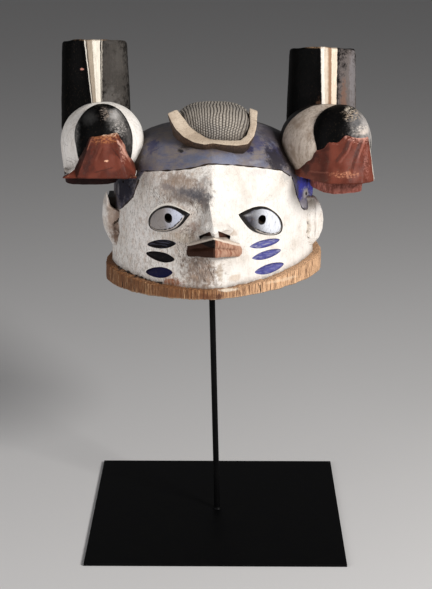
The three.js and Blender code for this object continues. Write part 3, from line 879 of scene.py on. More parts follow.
def skirtForm(one, grow, thick):
    # the flare at the beak's foot; grown, it is the white wood that backs it
    turn = hoodFrame(one)

    def place(co):
        across, depth, height = co.x, (co.y + 1) / 2, (co.z + 1) / 2
        drop = (1 - height) ** skirt["flare"]
        half = mix(skirt["topHalf"], skirt["footHalf"], drop) + grow * (height * 1.3 - 0.5)
        front = mix(skirt["topY"], skirt["footY"], drop) + grow
        back = front + thick if thick else beak["backY"]
        top = skirt["topZ"] + grow * 1.4
        return turn @ Vector((across * half, mix(front, back, depth), mix(one["beakZ"] + 0.4, top, height)))
    bm = placed(blockForm(skirt["cells"]), place)
    return pushed(bm, lambda co: toolMarks(co, *skirt["marks"], one["x"]))


def lipForm(one):
    top = one["beakZ"] + lip["overlap"]
    rows = lip["rows"]
    wall = [(mix(lip["taper"], 1, i / rows), i / rows) for i in range(rows + 1)]
    bm = turnedForm([(0, 0)] + wall + [(0, 1)], lip["steps"])
    turn = hoodFrame(one)

    def place(co):
        radius = math.hypot(co.x, co.y)
        across, along = planPoint(math.atan2(co.x, -co.y), lip["square"], 2)
        return turn @ Vector((one["lipX"] + radius * across * one["lipHalf"],
                              lip["y"] + radius * along * lip["halfDepth"], mix(one["lipZ"], top, co.z)))
    placed(bm, place)
    return pushed(bm, lambda co: toolMarks(co, *lip["marks"], one["x"] + 2))


# Cut lines, found by looking at the head from the front or from a side
def surfaceTree(body):
    bm = bmesh.new()
    bm.from_mesh(body.data)
    tree = BVHTree.FromBMesh(bm)
    bm.free()
    return tree


def snapped(tree, starts, direction):
    found = [tree.ray_cast(Vector(start), Vector(direction))[0] for start in starts]
    return [place for place in found if place]


def hairlineForms(tree):
    far, forms = 220, []
    steps, sideSteps = hairline["steps"], hairline["sideSteps"]
    frontX = [mix(*hairline["span"], i / steps) for i in range(steps + 1)]
    path = snapped(tree, [(x, -far, alongLine(hairline["front"], x)) for x in frontX], (0, 1, 0))
    forms.append(cutLine(path, hairline["width"], 1))
    for name, side in (("left", -1), ("right", 1)):
        points = hairline[name]
        foot, top = points[0][0] + hairline["footGap"], points[-1][0] - hairline["topGap"]
        heights = [mix(foot, top, i / sideSteps) for i in range(sideSteps + 1)]
        starts = [(side * far, alongLine(points, z), z) for z in heights]
        forms.append(cutLine(snapped(tree, starts, (-side, 0, 0)), hairline["width"], side + 3))
    for first, last in seamCracks:
        path = []
        for i in range(seamCrack["steps"] + 1):
            x, y, height = rimEdge(mix(first, last, i / seamCrack["steps"]))
            middle = Vector((rim["centreX"], 0, undersideZ(x) + height + 0.2))
            out = Vector((x - rim["centreX"], y, 0))
            path += snapped(tree, [middle + out * 1.5], -out)
        forms.append(cutLine(path, seamCrack["width"], first))
    for x, height, width in rimCracks:
        foot = undersideZ(x)
        drift = [wobble(Vector((x, 0, foot + i)), 3, 0.8) for i in range(7)]
        starts = [(x + aside, -far, foot + height * i / 6) for i, aside in enumerate(drift)]
        forms.append(cutLine(snapped(tree, starts, (0, 1, 0)), width, x))
    return forms


def pegHoleForm(hole):
    x, y, z, radius = hole
    return placed(ballForm(14, 10), lambda co: Vector((x, y, z)) + co * radius)


def cleaned(body):
    # takes out what the cuts leave behind: faces without area and loose flaps of two faces
    bm = bmesh.new()
    bm.from_mesh(body.data)
    bmesh.ops.dissolve_degenerate(bm, dist=weld["sliver"], edges=bm.edges)
    flaps = [face for face in bm.faces
             if len({near for edge in face.edges for near in edge.link_faces}) == 2]
    bmesh.ops.delete(bm, geom=flaps, context="FACES")
    bm.to_mesh(body.data)
    bm.free()


def buildMask():
    body = formObject("carved_mask", pushed(domedForm(head), headDepth), "face")
    joined(body, formObject("part", rimForm(), "rawRim"))
    joined(body, gathered(hairlineForms(surfaceTree(body)), "cutLine"), "DIFFERENCE")
    print("head, rim and cut lines")
    joined(body, formObject("part", noseForm(), "face"))
    joined(body, gathered([nostrilForm(one) for one in nostrils], "nostril"), "DIFFERENCE")
    for bm, finish in ((moundForm(), "mound"), (bandForm(), "band"), (mouthForm(), "mouth")):
        joined(body, formObject("part", bm, finish))
    print("nose, mouth, mound and band")
    for one, block in zip(ears, earBlocks):
        joined(body, formObject("part", earBlockForm(block), block["finish"]))
        joined(body, formObject("part", earForm(one), "ear"))
    joined(body, gathered([pegHoleForm(hole) for hole in pegHoles], "cutLine"), "DIFFERENCE")
    for one, two, side in zip(posts, hoods, ("Left", "Right")):
        joined(body, formObject("part", postForm(one), "post" + side))
        joined(body, formObject("part", hoodForm(two), "hood" + side))
        joined(body, formObject("part", lipForm(two), "lip"))
        joined(body, formObject("part", domeForm(two), "dome" + side))
        if two is hoods[0]:
            joined(body, formObject("part", skirtForm(two, skirt["grow"], 0), "hood" + side))
            joined(body, formObject("part", skirtForm(two, 0, skirt["thick"]), "beak" + side))
        joined(body, formObject("part", beakForm(two), "beak" + side))
    print("ears, posts and hoods")
    sockets = [almond(one, eye["socket"], eye["socketDepth"], 0, eye["socketRows"]) for one in eyes]
    joined(body, gathered(sockets, "lidLine"), "DIFFERENCE")
    eyeballs = [almond(one, 1, eye["depth"], eye["ridge"], eye["ballRows"]) for one in eyes]
    joined(body, gathered(eyeballs, "eyeball"))
    joined(body, gathered([pupilForm(one) for one in eyes], "pupil"), "DIFFERENCE")
    joined(body, gathered([markForm(one) for one in marks[:3]], "markPaintedShade"), "DIFFERENCE")
    joined(body, gathered([markForm(one) for one in marks[3:]], "markBlue"), "DIFFERENCE")
    print("eyes and marks")
    inside = pushed(domedForm(hollow), lambda co: toolMarks(co, *hollow["marks"]))
    joined(body, formObject("part", inside, "inside"), "DIFFERENCE")
    seat = turnedForm([(0, 0), (1, 0), (1, 1), (0, 1)], padSeat["steps"])
    top = hollow["crownZ"] + 1
    seatX = rodLine["footX"] + rodLine["lean"] * hollow["crownZ"]
    placed(seat, lambda co: Vector((seatX + co.x * padSeat["radius"], co.y * padSeat["radius"],
                                    top + (co.z - 1) * padSeat["height"])))
    joined(body, formObject("part", seat, "inside"), "DIFFERENCE")
    cleaned(body)
    addLayers(body)
    body.data.transform(Matrix.Scale(mm, 4))
    print("mask", len(body.data.vertices), "vertices")
    return body


def addLayers(body):
    # what the paints read: height above the hairline, and depth inside the nearer eye's outline
    cap = body.data.attributes.new("cap", "FLOAT", "POINT")
    lid = body.data.attributes.new("eyeInside", "FLOAT", "POINT")
    for index, v in enumerate(body.data.vertices):
        cap.data[index].value = capReach(*v.co)
        ahead = v.co.y < -20 and 290 < v.co.z < 370
        lid.data[index].value = -eyeRing(v.co, eyes[0 if v.co.x < 0 else 1]) if ahead else eye["behind"]


# Paint, built from layers of nodes that read the place on the object in millimetres
sideways, backward, upward = (1, 0, 0), (0, 1, 0), (0, 0, 1)


def tone(red, green, blue):
    return tuple(((part / 255 + 0.055) / 1.055) ** 2.4 for part in (red, green, blue)) + (1,)


def node(tree, kind, inputs=None, **settings):
    made = tree.nodes.new("ShaderNode" + kind)
    for name, value in settings.items():
        setattr(made, name, value)
    for key, value in (inputs or {}).items():
        if isinstance(value, bpy.types.NodeSocket):
            tree.links.new(value, made.inputs[key])
        else:
            made.inputs[key].default_value = value
    return made


def placeOf(tree):
    spot = node(tree, "TexCoord").outputs["Object"]
    return node(tree, "VectorMath", {0: spot, "Scale": 1 / mm}, operation="SCALE").outputs[0]


def grain(tree, place, size, detail=3.0, rough=0.55, shift=0.0):
    # noise with its own size along X, Y and Z
    size = size if isinstance(size, tuple) else (size, size, size)
    scaled = node(tree, "Mapping", {"Vector": place, "Location": (shift, shift, shift),
                                    "Scale": tuple(1 / part for part in size)}).outputs[0]
    found = node(tree, "TexNoise", {"Vector": scaled, "Scale": 1.0, "Detail": detail, "Roughness": rough})
    return found.outputs[0]


def grainVector(tree, place, size, reach):
    # a small offset that bends a pattern
    found = node(tree, "TexNoise", {"Vector": place, "Scale": 1 / size, "Detail": 2.0}).outputs["Color"]
    moved = node(tree, "VectorMath", {0: found, 1: (-0.5, -0.5, -0.5)}, operation="ADD").outputs[0]
    return node(tree, "VectorMath", {0: moved, "Scale": reach}, operation="SCALE").outputs[0]


def between(tree, value, low, high):
    # 0 below low and 1 above high, smooth between them
    found = node(tree, "MapRange", {"Value": value, "From Min": low, "From Max": high},
                 interpolation_type="SMOOTHSTEP")
    return found.outputs[0]


def maths(tree, operation, a, b=0.0, c=0.0):
    return node(tree, "Math", {0: a, 1: b, 2: c}, operation=operation).outputs[0]


def rest(tree, amount):
    return maths(tree, "SUBTRACT", 1.0, amount)


def below(tree, value, low, high):
    # 1 below low and 0 above high
    return rest(tree, between(tree, value, low, high))


def torn(tree, value, ragged, reach):
    # moves an edge to and fro by a ragged noise
    return maths(tree, "ADD", value, maths(tree, "MULTIPLY_ADD", ragged, reach, -0.5 * reach))


def blend(tree, amount, a, b, kind="MIX"):
    mixed = node(tree, "Mix", data_type="RGBA", blend_type=kind)
    for socket, value in ((mixed.inputs[0], amount), (mixed.inputs[6], a), (mixed.inputs[7], b)):
        if isinstance(value, bpy.types.NodeSocket):
            tree.links.new(value, socket)
        else:
            socket.default_value = value
    return mixed.outputs[2]


def along(tree, place, direction, start=0.0):
    # how far a place lies along a direction past a start
    run = node(tree, "VectorMath", {0: place, 1: direction}, operation="DOT_PRODUCT").outputs["Value"]
    return maths(tree, "SUBTRACT", run, start)


def dab(tree, place, middle, size, ragged, soft=0.6, tear=2.2):
    # 1 in the middle of a ragged oval patch and 0 outside it
    away = node(tree, "VectorMath", {0: place, 1: middle}, operation="SUBTRACT").outputs[0]
    across = tuple(1 / part for part in size)
    scaled = node(tree, "VectorMath", {0: away, 1: across}, operation="MULTIPLY").outputs[0]
    reach = node(tree, "VectorMath", {0: scaled}, operation="LENGTH").outputs["Value"]
    return below(tree, torn(tree, reach, ragged, tear), 1 - soft, 1.0)


def dabs(tree, place, colour, patches, ragged, soft=0.6, tear=2.2):
    # patches laid on one after the other
    for middle, size, paint, amount in patches:
        patch = maths(tree, "MULTIPLY", dab(tree, place, middle, size, ragged, soft, tear), amount)
        colour = blend(tree, patch, colour, paint)
    return colour


def strokes(tree, place, colour, lines, ragged):
    # lines between two places as seen from the front, each with a width, a colour and a strength
    wave = 3.0
    for (x0, z0), (x1, z1), width, paint, amount in lines:
        length = math.hypot(x1 - x0, z1 - z0)
        run = ((x1 - x0) / length, 0, (z1 - z0) / length)
        over = (-run[2], 0, run[0])
        off = along(tree, place, over, over[0] * x0 + over[2] * z0 + wave / 2)
        off = maths(tree, "ABSOLUTE", maths(tree, "MULTIPLY_ADD", ragged, wave, off))
        near = below(tree, off, width * 0.4, width)
        reach = within(tree, along(tree, place, run, run[0] * x0 + run[2] * z0), 0, length, 1.5)
        colour = masked(tree, colour, paint, near, reach, amount)
    return colour


def occluded(tree, reach, inside=False):
    # how open a place is: low in hollows or, from the inside, low along edges
    found = node(tree, "AmbientOcclusion", {"Distance": reach * mm},
                 samples=8, inside=inside, only_local=True)
    return found.outputs["AO"]


def attribute(tree, name):
    return node(tree, "Attribute", attribute_name=name).outputs["Fac"]


def facing(tree, direction):
    normal = node(tree, "TexCoord").outputs["Normal"]
    return node(tree, "VectorMath", {0: normal, 1: direction}, operation="DOT_PRODUCT").outputs["Value"]


# what a recipe leaves out: sizes in millimetres, and spans in which a noise or an opening takes hold
commonPaint = {
    "mottle": 26, "mottleSpan": (0.42, 0.72), "streakSize": (1.3, 1.3, 16), "streak": 0.25,
    "fineSize": 1.6, "fineShade": 0.24, "tornSize": 5,
    "wear": 0.3, "edge": 3.0, "edgeSpan": (0.25, 0.75), "raggedWear": 0.8, "broadWear": 0.25,
    "wornFrom": 0.78, "wornBlur": 0.1, "wornSink": 0.35,
    "dirtAndShade": 0.8, "dirtAndShadeReach": 9.0, "dirtAndShadeSpan": (0.3, 0.95), "dirtAndShadeColour": tone(62, 48, 38),
    "specks": 0.45, "speckSize": (1.1, 1.1, 1.7), "speckSpan": (0.62, 0.72), "speckColour": tone(92, 76, 62),
    "cracks": 0, "crackSize": 11, "crackWidth": (0.008, 0.03), "crackColour": tone(86, 70, 58),
    "rough": (0.5, 0.72), "gloss": 0.35,
    "streakRelief": 0.5, "fineRelief": 0.35, "relief": 0.7, "reliefDepth": 0.4,
}


def crackedPaint(tree, place, colour, recipe):
    # hair cracks between bent cells, in patches
    offset = grainVector(tree, place, 4, 3.5)
    bent = node(tree, "VectorMath", {0: place, 1: offset}, operation="ADD").outputs[0]
    cells = node(tree, "TexVoronoi", {"Vector": bent, "Scale": 1 / recipe["crackSize"]},
                 feature="DISTANCE_TO_EDGE").outputs["Distance"]
    patchy = between(tree, grain(tree, place, 17, 2, 0.5, 37), 0.48, 0.62)
    line = maths(tree, "MULTIPLY", below(tree, cells, *recipe["crackWidth"]), patchy)
    return masked(tree, colour, recipe["crackColour"], line, recipe["cracks"])


def paintedWood(name, recipe, overlay=None):
    # paint over wood: mottling, streaks, worn places on edges, dirt and painted shade in hollows, relief
    recipe = {**commonPaint, **recipe}
    made = bpy.data.materials.new(name)
    made.use_nodes = True
    tree = made.node_tree
    shader = tree.nodes["Principled BSDF"]
    place = placeOf(tree)
    broad = grain(tree, place, recipe["mottle"], 4, 0.62)
    streaks = grain(tree, place, recipe["streakSize"], 4, 0.6, 7)
    fine = grain(tree, place, recipe["fineSize"], 3, 0.7, 3)
    ragged = grain(tree, place, recipe["tornSize"], 6, 0.75, 11)
    colour = blend(tree, between(tree, broad, *recipe["mottleSpan"]), recipe["paint"], recipe["faded"])
    lift = 0.0
    if overlay:
        colour = overlay(tree, place, colour, ragged)
    if isinstance(colour, tuple):
        colour, lift = colour

    # light and dark from the streaks and the fine grain
    shade = maths(tree, "MULTIPLY_ADD", streaks, recipe["streak"] * 2, 1 - recipe["streak"])
    fineShade = maths(tree, "MULTIPLY_ADD", fine, recipe["fineShade"], 1 - recipe["fineShade"] / 2)
    shade = maths(tree, "MULTIPLY", shade, fineShade)
    grey = node(tree, "CombineColor", {0: shade, 1: shade, 2: shade}).outputs[0]
    colour = blend(tree, 1.0, colour, grey, "MULTIPLY")

    # bare wood on edges, dirt and painted shade in hollows, specks and cracks
    edge = below(tree, occluded(tree, recipe["edge"], True), *recipe["edgeSpan"])
    worn = maths(tree, "MULTIPLY", edge, recipe["wear"])
    worn = maths(tree, "ADD", worn, maths(tree, "MULTIPLY", ragged, recipe["raggedWear"]))
    worn = maths(tree, "ADD", worn, maths(tree, "MULTIPLY", broad, recipe["broadWear"]))
    bareness = between(tree, worn, recipe["wornFrom"], recipe["wornFrom"] + recipe["wornBlur"])
    colour = blend(tree, bareness, colour, recipe["bare"])
    # darker where occlusion finds a hollow: dirt together with painted shade
    dirtAndShade = below(tree, occluded(tree, recipe["dirtAndShadeReach"]), *recipe["dirtAndShadeSpan"])
    patchy = between(tree, ragged, 0.2, 0.6)
    colour = masked(tree, colour, recipe["dirtAndShadeColour"], dirtAndShade, recipe["dirtAndShade"], patchy)
    specks = between(tree, grain(tree, place, recipe["speckSize"], 2, 0.5, 19), *recipe["speckSpan"])
    colour = masked(tree, colour, recipe["speckColour"], specks, recipe["specks"])
    if recipe["cracks"]:
        colour = crackedPaint(tree, place, colour, recipe)
    tree.links.new(colour, shader.inputs["Base Color"])

    # gloss and relief
    low, high = recipe["rough"]
    roughness = maths(tree, "MULTIPLY_ADD", maths(tree, "ADD", fine, bareness), (high - low) / 2, low)
    tree.links.new(roughness, shader.inputs["Roughness"])
    height = maths(tree, "ADD", maths(tree, "MULTIPLY", streaks, recipe["streakRelief"]),
                   maths(tree, "MULTIPLY", fine, recipe["fineRelief"]))
    height = maths(tree, "SUBTRACT", height, maths(tree, "MULTIPLY", bareness, recipe["wornSink"]))
    height = maths(tree, "ADD", height, lift)
    bump = node(tree, "Bump", {"Height": height, "Distance": recipe["reliefDepth"] * mm,
                               "Strength": recipe["relief"]})
    tree.links.new(bump.outputs[0], shader.inputs["Normal"])
    shader.inputs["Specular IOR Level"].default_value = recipe["gloss"]
    materials[name] = made


white = {"paint": tone(235, 230, 223), "faded": tone(214, 205, 194), "bare": tone(172, 146, 120),
         "cracks": 0.4}
black = {"paint": tone(2, 2, 2), "faded": tone(10, 9, 9), "bare": tone(104, 88, 74), "gloss": 0.05,
         "dirtAndShade": 0.2, "dirtAndShadeColour": tone(16, 13, 12), "rough": (0.5, 0.68), "specks": 0.2}


def hatch(tree, place, turn, size, low, high):
    # fine strokes leaning by an angle from the upright
    leaning = node(tree, "VectorRotate", {"Vector": place, "Angle": turn}, rotation_type="Y_AXIS").outputs[0]
    return between(tree, grain(tree, leaning, size, 3, 0.6, 53), low, high)


def masked(tree, colour, paint, *masks):
    # paint laid on where every mask allows it
    amount = masks[0]
    for part in masks[1:]:
        amount = maths(tree, "MULTIPLY", amount, part)
    return blend(tree, amount, colour, paint)


def within(tree, value, low, high, soft):
    # 1 between two values and 0 outside them
    rising = between(tree, value, low - soft, low + soft)
    falling = below(tree, value, high - soft, high + soft)
    return maths(tree, "MULTIPLY", rising, falling)


def eyeLower(tree, place):
    # 1 below the long axis of either eye
    left, right = [between(tree, along(tree, place, (one["axisSlope"], 0, 1)),
                           one["axisZ"] + 1, one["axisZ"] - 1) for one in eyes]
    side = between(tree, along(tree, place, sideways), -1, 1)
    return maths(tree, "MULTIPLY_ADD", side, maths(tree, "SUBTRACT", right, left), left)


def hairPaint(tree, place, ragged):
    # grey-blue paint of the cap, with its own patches
    worn = grain(tree, place, (16, 16, 9), 5, 0.65, 23)
    hair = blend(tree, between(tree, worn, 0.35, 0.65), tone(100, 102, 120), tone(126, 116, 110))
    brush = grain(tree, place, (14, 5, 1.6), 4, 0.6, 31)
    hair = masked(tree, hair, tone(70, 74, 108), between(tree, brush, 0.5, 0.75), 0.6)
    high = between(tree, along(tree, place, upward), 392, 404)
    hair = masked(tree, hair, tone(116, 108, 104), high, 0.4)
    return dabs(tree, place, hair, capPatches, ragged)


def headPaint(tree, place, colour, ragged):
    # the white face: broad patches, then tints and fine marks that are stronger on its left half
    colour = dabs(tree, place, colour, facePatches, ragged)
    shaded = between(tree, along(tree, place, sideways), 2, -6)
    tint = between(tree, grain(tree, place, (6, 6, 8), 5, 0.7, 61), 0.48, 0.66)
    colour = masked(tree, colour, tone(186, 158, 134), tint, shaded, 0.5)
    pale = between(tree, grain(tree, place, (2.4, 2.4, 7), 4, 0.65, 97), 0.52, 0.64)
    colour = masked(tree, colour, tone(252, 247, 240), pale, shaded, 0.36)
    flecks = between(tree, grain(tree, place, (1.0, 1.0, 1.7), 3, 0.6, 83), 0.58, 0.68)
    colour = masked(tree, colour, tone(100, 82, 68), flecks, shaded, 0.6)
    brush = hatch(tree, place, 0.12, (1.1, 1.1, 9), 0.53, 0.63)
    colour = masked(tree, colour, tone(132, 114, 98), brush, maths(tree, "MULTIPLY_ADD", shaded, 0.36, 0.1))
    colour = dabs(tree, place, colour, smudgesAndShade, ragged, 0.8, 1.5)
    for middle, size, lean in faceHatches:
        leaning = hatch(tree, place, lean, (1.0, 1.0, 6), 0.54, 0.6)
        colour = masked(tree, colour, tone(78, 62, 52), leaning, dab(tree, place, middle, size, ragged), 0.8)
    # a pale band along each eye's upper outline, a painted highlight on the raised lid, and the cap above
    # the hairline
    lid = torn(tree, attribute(tree, "eyeInside"), ragged, 1.0)
    upper = rest(tree, eyeLower(tree, place))
    colour = masked(tree, colour, tone(254, 247, 235), within(tree, lid, -2.6, -0.7, 0.3), upper, 0.9)
    hair = hairPaint(tree, place, ragged)
    return blend(tree, between(tree, attribute(tree, "cap"), -0.4, 0.4), colour, hair)


# patches: a place, its half sizes, a colour and a strength
capPatches = [
    # dark patches beside the hoods: dirt with painted shade where the hoods meet the cap
    ((-60, -32, 391), (9, 16, 12), tone(46, 50, 92), 0.8),
    ((-72, -20, 380), (8, 20, 12), tone(74, 66, 62), 0.7),
    ((57.8, -38, 386), (17, 18, 17), tone(40, 42, 76), 0.9),
    ((68, -26, 384), (13, 20, 20), tone(44, 38, 38), 0.85),
    ((31, -53, 393), (7, 8, 5), tone(26, 30, 74), 0.9),
    ((8, -76, 388), (34, 16, 6), tone(120, 126, 148), 0.6),
    ((-20, -72, 388), (26, 12, 5), tone(92, 98, 118), 0.6),
    ((-32.5, -58, 392.7), (4, 6, 2), tone(20, 18, 18), 0.9),
    ((-8.9, -80, 387), (10, 8, 2.6), tone(132, 118, 106), 0.5),
    ((37.5, -61.5, 383), (14, 8, 2.0), tone(150, 150, 156), 0.4),
    ((-30, -58, 398), (12, 10, 5), tone(46, 38, 36), 0.8),
    ((4, -72, 397), (24, 8, 2.6), tone(60, 54, 54), 0.6),
    ((32, -60, 398), (12, 10, 4), tone(44, 38, 42), 0.7),
    # bright blue on the right temple panel, brightened as painted light
    ((86, -18, 351), (18, 24, 19), tone(92, 98, 240), 1.0),
    ((74, -35, 352), (4, 9, 18), tone(140, 140, 166), 0.9),
    ((86.2, -18.5, 343.4), (8.6, 10, 8.2), tone(244, 242, 242), 1.0),
    ((83.5, -24, 334), (8, 14, 6.5), tone(206, 202, 212), 0.85),
    # more dark patches beside the hoods: dirt with painted shade
    ((57, -44, 382), (18, 18, 18), tone(38, 34, 42), 0.95),
    ((-75, -34, 377), (7, 20, 20), tone(60, 48, 40), 0.75),
    ((56, -6, 400), (22, 44, 14), tone(64, 58, 68), 0.75),
    ((40, -40, 398), (9, 20, 10), tone(56, 60, 104), 0.6),
    # near black over the left temple panel and behind the left ear: painted shade on the blue
    ((-86, -22, 350), (20, 32, 28), tone(26, 24, 42), 1.0),
    ((-94.7, -15, 347), (2.0, 3, 7), tone(150, 146, 152), 0.7),
]
# grey-blue smudges at the left brow beside the nose bridge, together with painted shade where the brow
# hollows
smudgesAndShade = [
    ((-27, -82, 353), (30, 20, 9), tone(110, 100, 94), 0.6),
    ((-25, -85, 359), (28, 20, 6.5), tone(84, 84, 92), 0.75),
    ((-14, -90, 357), (16, 20, 9), tone(70, 70, 78), 0.8),
    ((-10, -92, 352), (8, 14, 9), tone(84, 78, 78), 0.7),
    ((-46, -72, 361), (15, 14, 5), tone(124, 118, 120), 0.6),
    ((-32, -78, 369), (28, 20, 5), tone(170, 146, 126), 0.35),
]
facePatches = [
    ((-34, -78, 362), (44, 26, 19), tone(168, 150, 136), 0.85),
    ((-36, -78, 369), (30, 20, 6), tone(150, 132, 118), 0.55),
    ((-30, -80, 322), (24, 30, 42), tone(172, 150, 132), 0.45),
    ((-10, -90, 366), (11, 10, 14), tone(122, 114, 110), 0.65),
    ((-9, -92, 349), (9, 9, 10), tone(124, 116, 112), 0.6),
    # a pale patch over the outer left cheek: painted light
    ((-70, -50, 306), (24, 36, 42), tone(255, 249, 243), 0.8),
    ((-40, -75, 270), (14, 18, 7), tone(150, 84, 40), 0.95),
    ((-18, -84, 327), (9, 10, 7), tone(138, 104, 88), 0.6),
    ((-22, -84, 319), (7, 10, 5), tone(118, 92, 78), 0.5),
    ((17, -84, 321), (5, 8, 4), tone(170, 140, 112), 0.5),
    ((-14, -86, 283), (22, 20, 26), tone(130, 110, 96), 0.9),
    ((4, -90, 284), (4, 10, 14), tone(168, 146, 120), 0.55),
    ((18, -84, 277), (8, 10, 6), tone(196, 172, 144), 0.5),
    ((-30, -80, 316), (14, 16, 7), tone(192, 176, 152), 0.5),
    ((66, -42, 366), (12, 12, 6), tone(172, 168, 164), 0.6),
    ((40, -64, 374), (30, 14, 4), tone(206, 200, 196), 0.6),
    ((80, -38, 300), (12, 14, 8), tone(206, 196, 184), 0.5),
]
faceHatches = [  # a place, its half sizes and the strokes' lean
    ((-31, -84, 303), (12, 16, 15), 0.6),
    ((-28, -84, 322), (12, 16, 9), -0.7),
    ((-52, -68, 350), (16, 16, 8), 0.9),
    ((-20, -86, 344), (10, 12, 12), -0.2),
    ((-10, -90, 286), (16, 16, 18), 0.3),
]
earPatches = [
    # brown over most of the left ear and grey-brown in the right ear's top scoop: stains with painted shade;
    # the small dark spot low on the left ear is painted shade
    ((92, -20, 333), (9, 12, 8), tone(150, 138, 122), 0.8),
    ((88, -20, 308), (6, 12, 14), tone(190, 172, 148), 0.6),
    ((-98, -18, 316), (16, 14, 44), tone(142, 112, 92), 0.9),
    ((-97, -18, 300), (9, 12, 12), tone(116, 88, 68), 0.8),
    ((-102, -18, 322), (6, 12, 16), tone(190, 170, 154), 0.7),
    ((-99, -18, 306), (3, 12, 5), tone(74, 54, 42), 0.7),
]


def hoodPaint(one, stainAndShade):
    def overlay(tree, place, colour, ragged):
        direction = hoodFrame(one).to_3x3() @ Vector((one["backTilt"], 1, 0))
        start = direction.dot(Vector((one["x"], hood["y"], 0)))
        back = torn(tree, along(tree, place, tuple(direction), start + one["backEdge"]), ragged, 5)
        # brown streaks and a browner lower part: stains with painted shade, stronger on the right hood
        streak = between(tree, grain(tree, place, (2.2, 2.2, 15), 4, 0.65, 41), 0.45, 0.72)
        colour = masked(tree, colour, tone(150, 132, 116), streak, stainAndShade)
        low = below(tree, along(tree, place, upward), 366, 392)
        colour = masked(tree, colour, tone(132, 112, 96), low, stainAndShade * 0.7)
        return blend(tree, between(tree, back, -0.6, 0.6), colour, tone(14, 13, 13))
    return overlay


def stripePaint(one, bands, scuffsAndSheen):
    # upright painted stripe: bands are pairs of a place across it, from -1 to 1, and a colour
    def overlay(tree, place, colour, ragged):
        (lowZ, lowX, lowHalf), (highZ, highX, highHalf) = one["stripe"]
        height = node(tree, "SeparateXYZ", {0: place}).outputs[2]
        t = maths(tree, "DIVIDE", maths(tree, "SUBTRACT", height, lowZ), highZ - lowZ)
        middle = maths(tree, "MULTIPLY_ADD", t, highX - lowX, lowX + one["x"])
        half = maths(tree, "MULTIPLY_ADD", t, highHalf - lowHalf, lowHalf)
        across = maths(tree, "DIVIDE", maths(tree, "SUBTRACT", along(tree, place, sideways), middle), half)
        across = torn(tree, across, ragged, 0.3)
        # patches over the black: rubbed paint and painted sheen
        base = dabs(tree, place, colour, scuffsAndSheen, ragged)
        striped = base
        for edge, paint in bands:
            soft = 0.16 if paint in softBands.values() else 0.05
            striped = blend(tree, between(tree, across, edge - soft, edge + soft), striped, paint or base)
        worn = between(tree, grain(tree, place, (2, 2, 9), 4, 0.65, 43), 0.52, 0.7)
        onStripe = within(tree, across, -0.9, 0.9, 0.1)
        striped = masked(tree, striped, tone(120, 98, 80), worn, onStripe, 0.25)
        flecks = between(tree, grain(tree, place, (1.4, 1.4, 5), 5, 0.75, 67), 0.6, 0.72)
        striped = masked(tree, striped, tone(126, 112, 100), flecks, between(tree, across, 0.9, 1.3), 0.5)
        edge = between(tree, height, one["topZ"] - 2.6, one["topZ"] - 1.0)
        striped = masked(tree, striped, tone(150, 122, 96), edge, between(tree, ragged, 0.42, 0.56), 0.8)
        return blend(tree, between(tree, along(tree, place, backward), 2, 4), striped, base)
    return overlay


softBands = {"tan": tone(158, 124, 98), "cream": tone(168, 154, 136)}  # stripe colours with blurred edges


def scuffsAndPaintedLight(patches, scratches=(), rightEdge=None):
    # patches of rubbed paint, stains, painted sheen and painted shade, broken short scratches and, where
    # given, a pale edge on the right
    def overlay(tree, place, colour, ragged):
        colour = dabs(tree, place, colour, patches, ragged, 0.9, 1.3)
        if rightEdge:
            direction, start = rightEdge
            edge = torn(tree, along(tree, place, direction, start), ragged, 6)
            colour = masked(tree, colour, tone(206, 200, 194), between(tree, edge, -1.5, 1.5), 0.85)
        dashes = between(tree, grain(tree, place, (2.4, 3, 1.1), 3, 0.6, 57), 0.5, 0.57)
        for middle, size, paint in scratches:
            colour = masked(tree, colour, paint, dab(tree, place, middle, size, ragged), dashes)
        return colour
    return overlay


def mouthPaint(tree, place, colour, ragged):
    # dark left of the middle, dark stain with painted shade, and worn right of it, with a pale ledge above
    # the upper lip
    side = torn(tree, along(tree, place, sideways), ragged, 1.6)
    height = along(tree, place, (0, -0.24, 1), 339)
    lower = below(tree, height, -0.5, 0.5)
    dark = masked(tree, tone(16, 4, 1), tone(62, 34, 20), lower, 0.7)
    light = blend(tree, between(tree, grain(tree, place, (2.6, 2.6, 9), 3, 0.6, 5), 0.4, 0.65),
                  tone(178, 140, 118), tone(136, 90, 70))
    colour = blend(tree, between(tree, side, -0.5, 0.5), dark, light)
    reach = maths(tree, "ABSOLUTE", along(tree, place, sideways, mouth["x"]))
    # the lip's top edge falls away from the middle
    raised = maths(tree, "MULTIPLY_ADD", reach, 0.543, along(tree, place, upward))
    ledge = between(tree, maths(tree, "ADD", raised, ragged), 321.6, 322.2)
    return masked(tree, colour, tone(222, 208, 192), ledge, 0.85)


def bandPaint(tree, place, colour, ragged):
    # pale on top, streaked brown on the wall below
    wall = below(tree, facing(tree, upward), 0.25, 0.45)
    low = below(tree, along(tree, place, upward), 390, 402)
    brown = blend(tree, low, tone(86, 64, 48), tone(30, 23, 20))
    streak = between(tree, grain(tree, place, (1.2, 1.2, 12), 3, 0.6, 13), 0.42, 0.62)
    brown = masked(tree, brown, tone(32, 25, 22), streak, 0.75)
    specks = between(tree, grain(tree, place, 1.6, 4, 0.7, 71), 0.58, 0.68)
    colour = masked(tree, colour, tone(122, 96, 76), specks, 0.65)
    return blend(tree, wall, colour, brown)


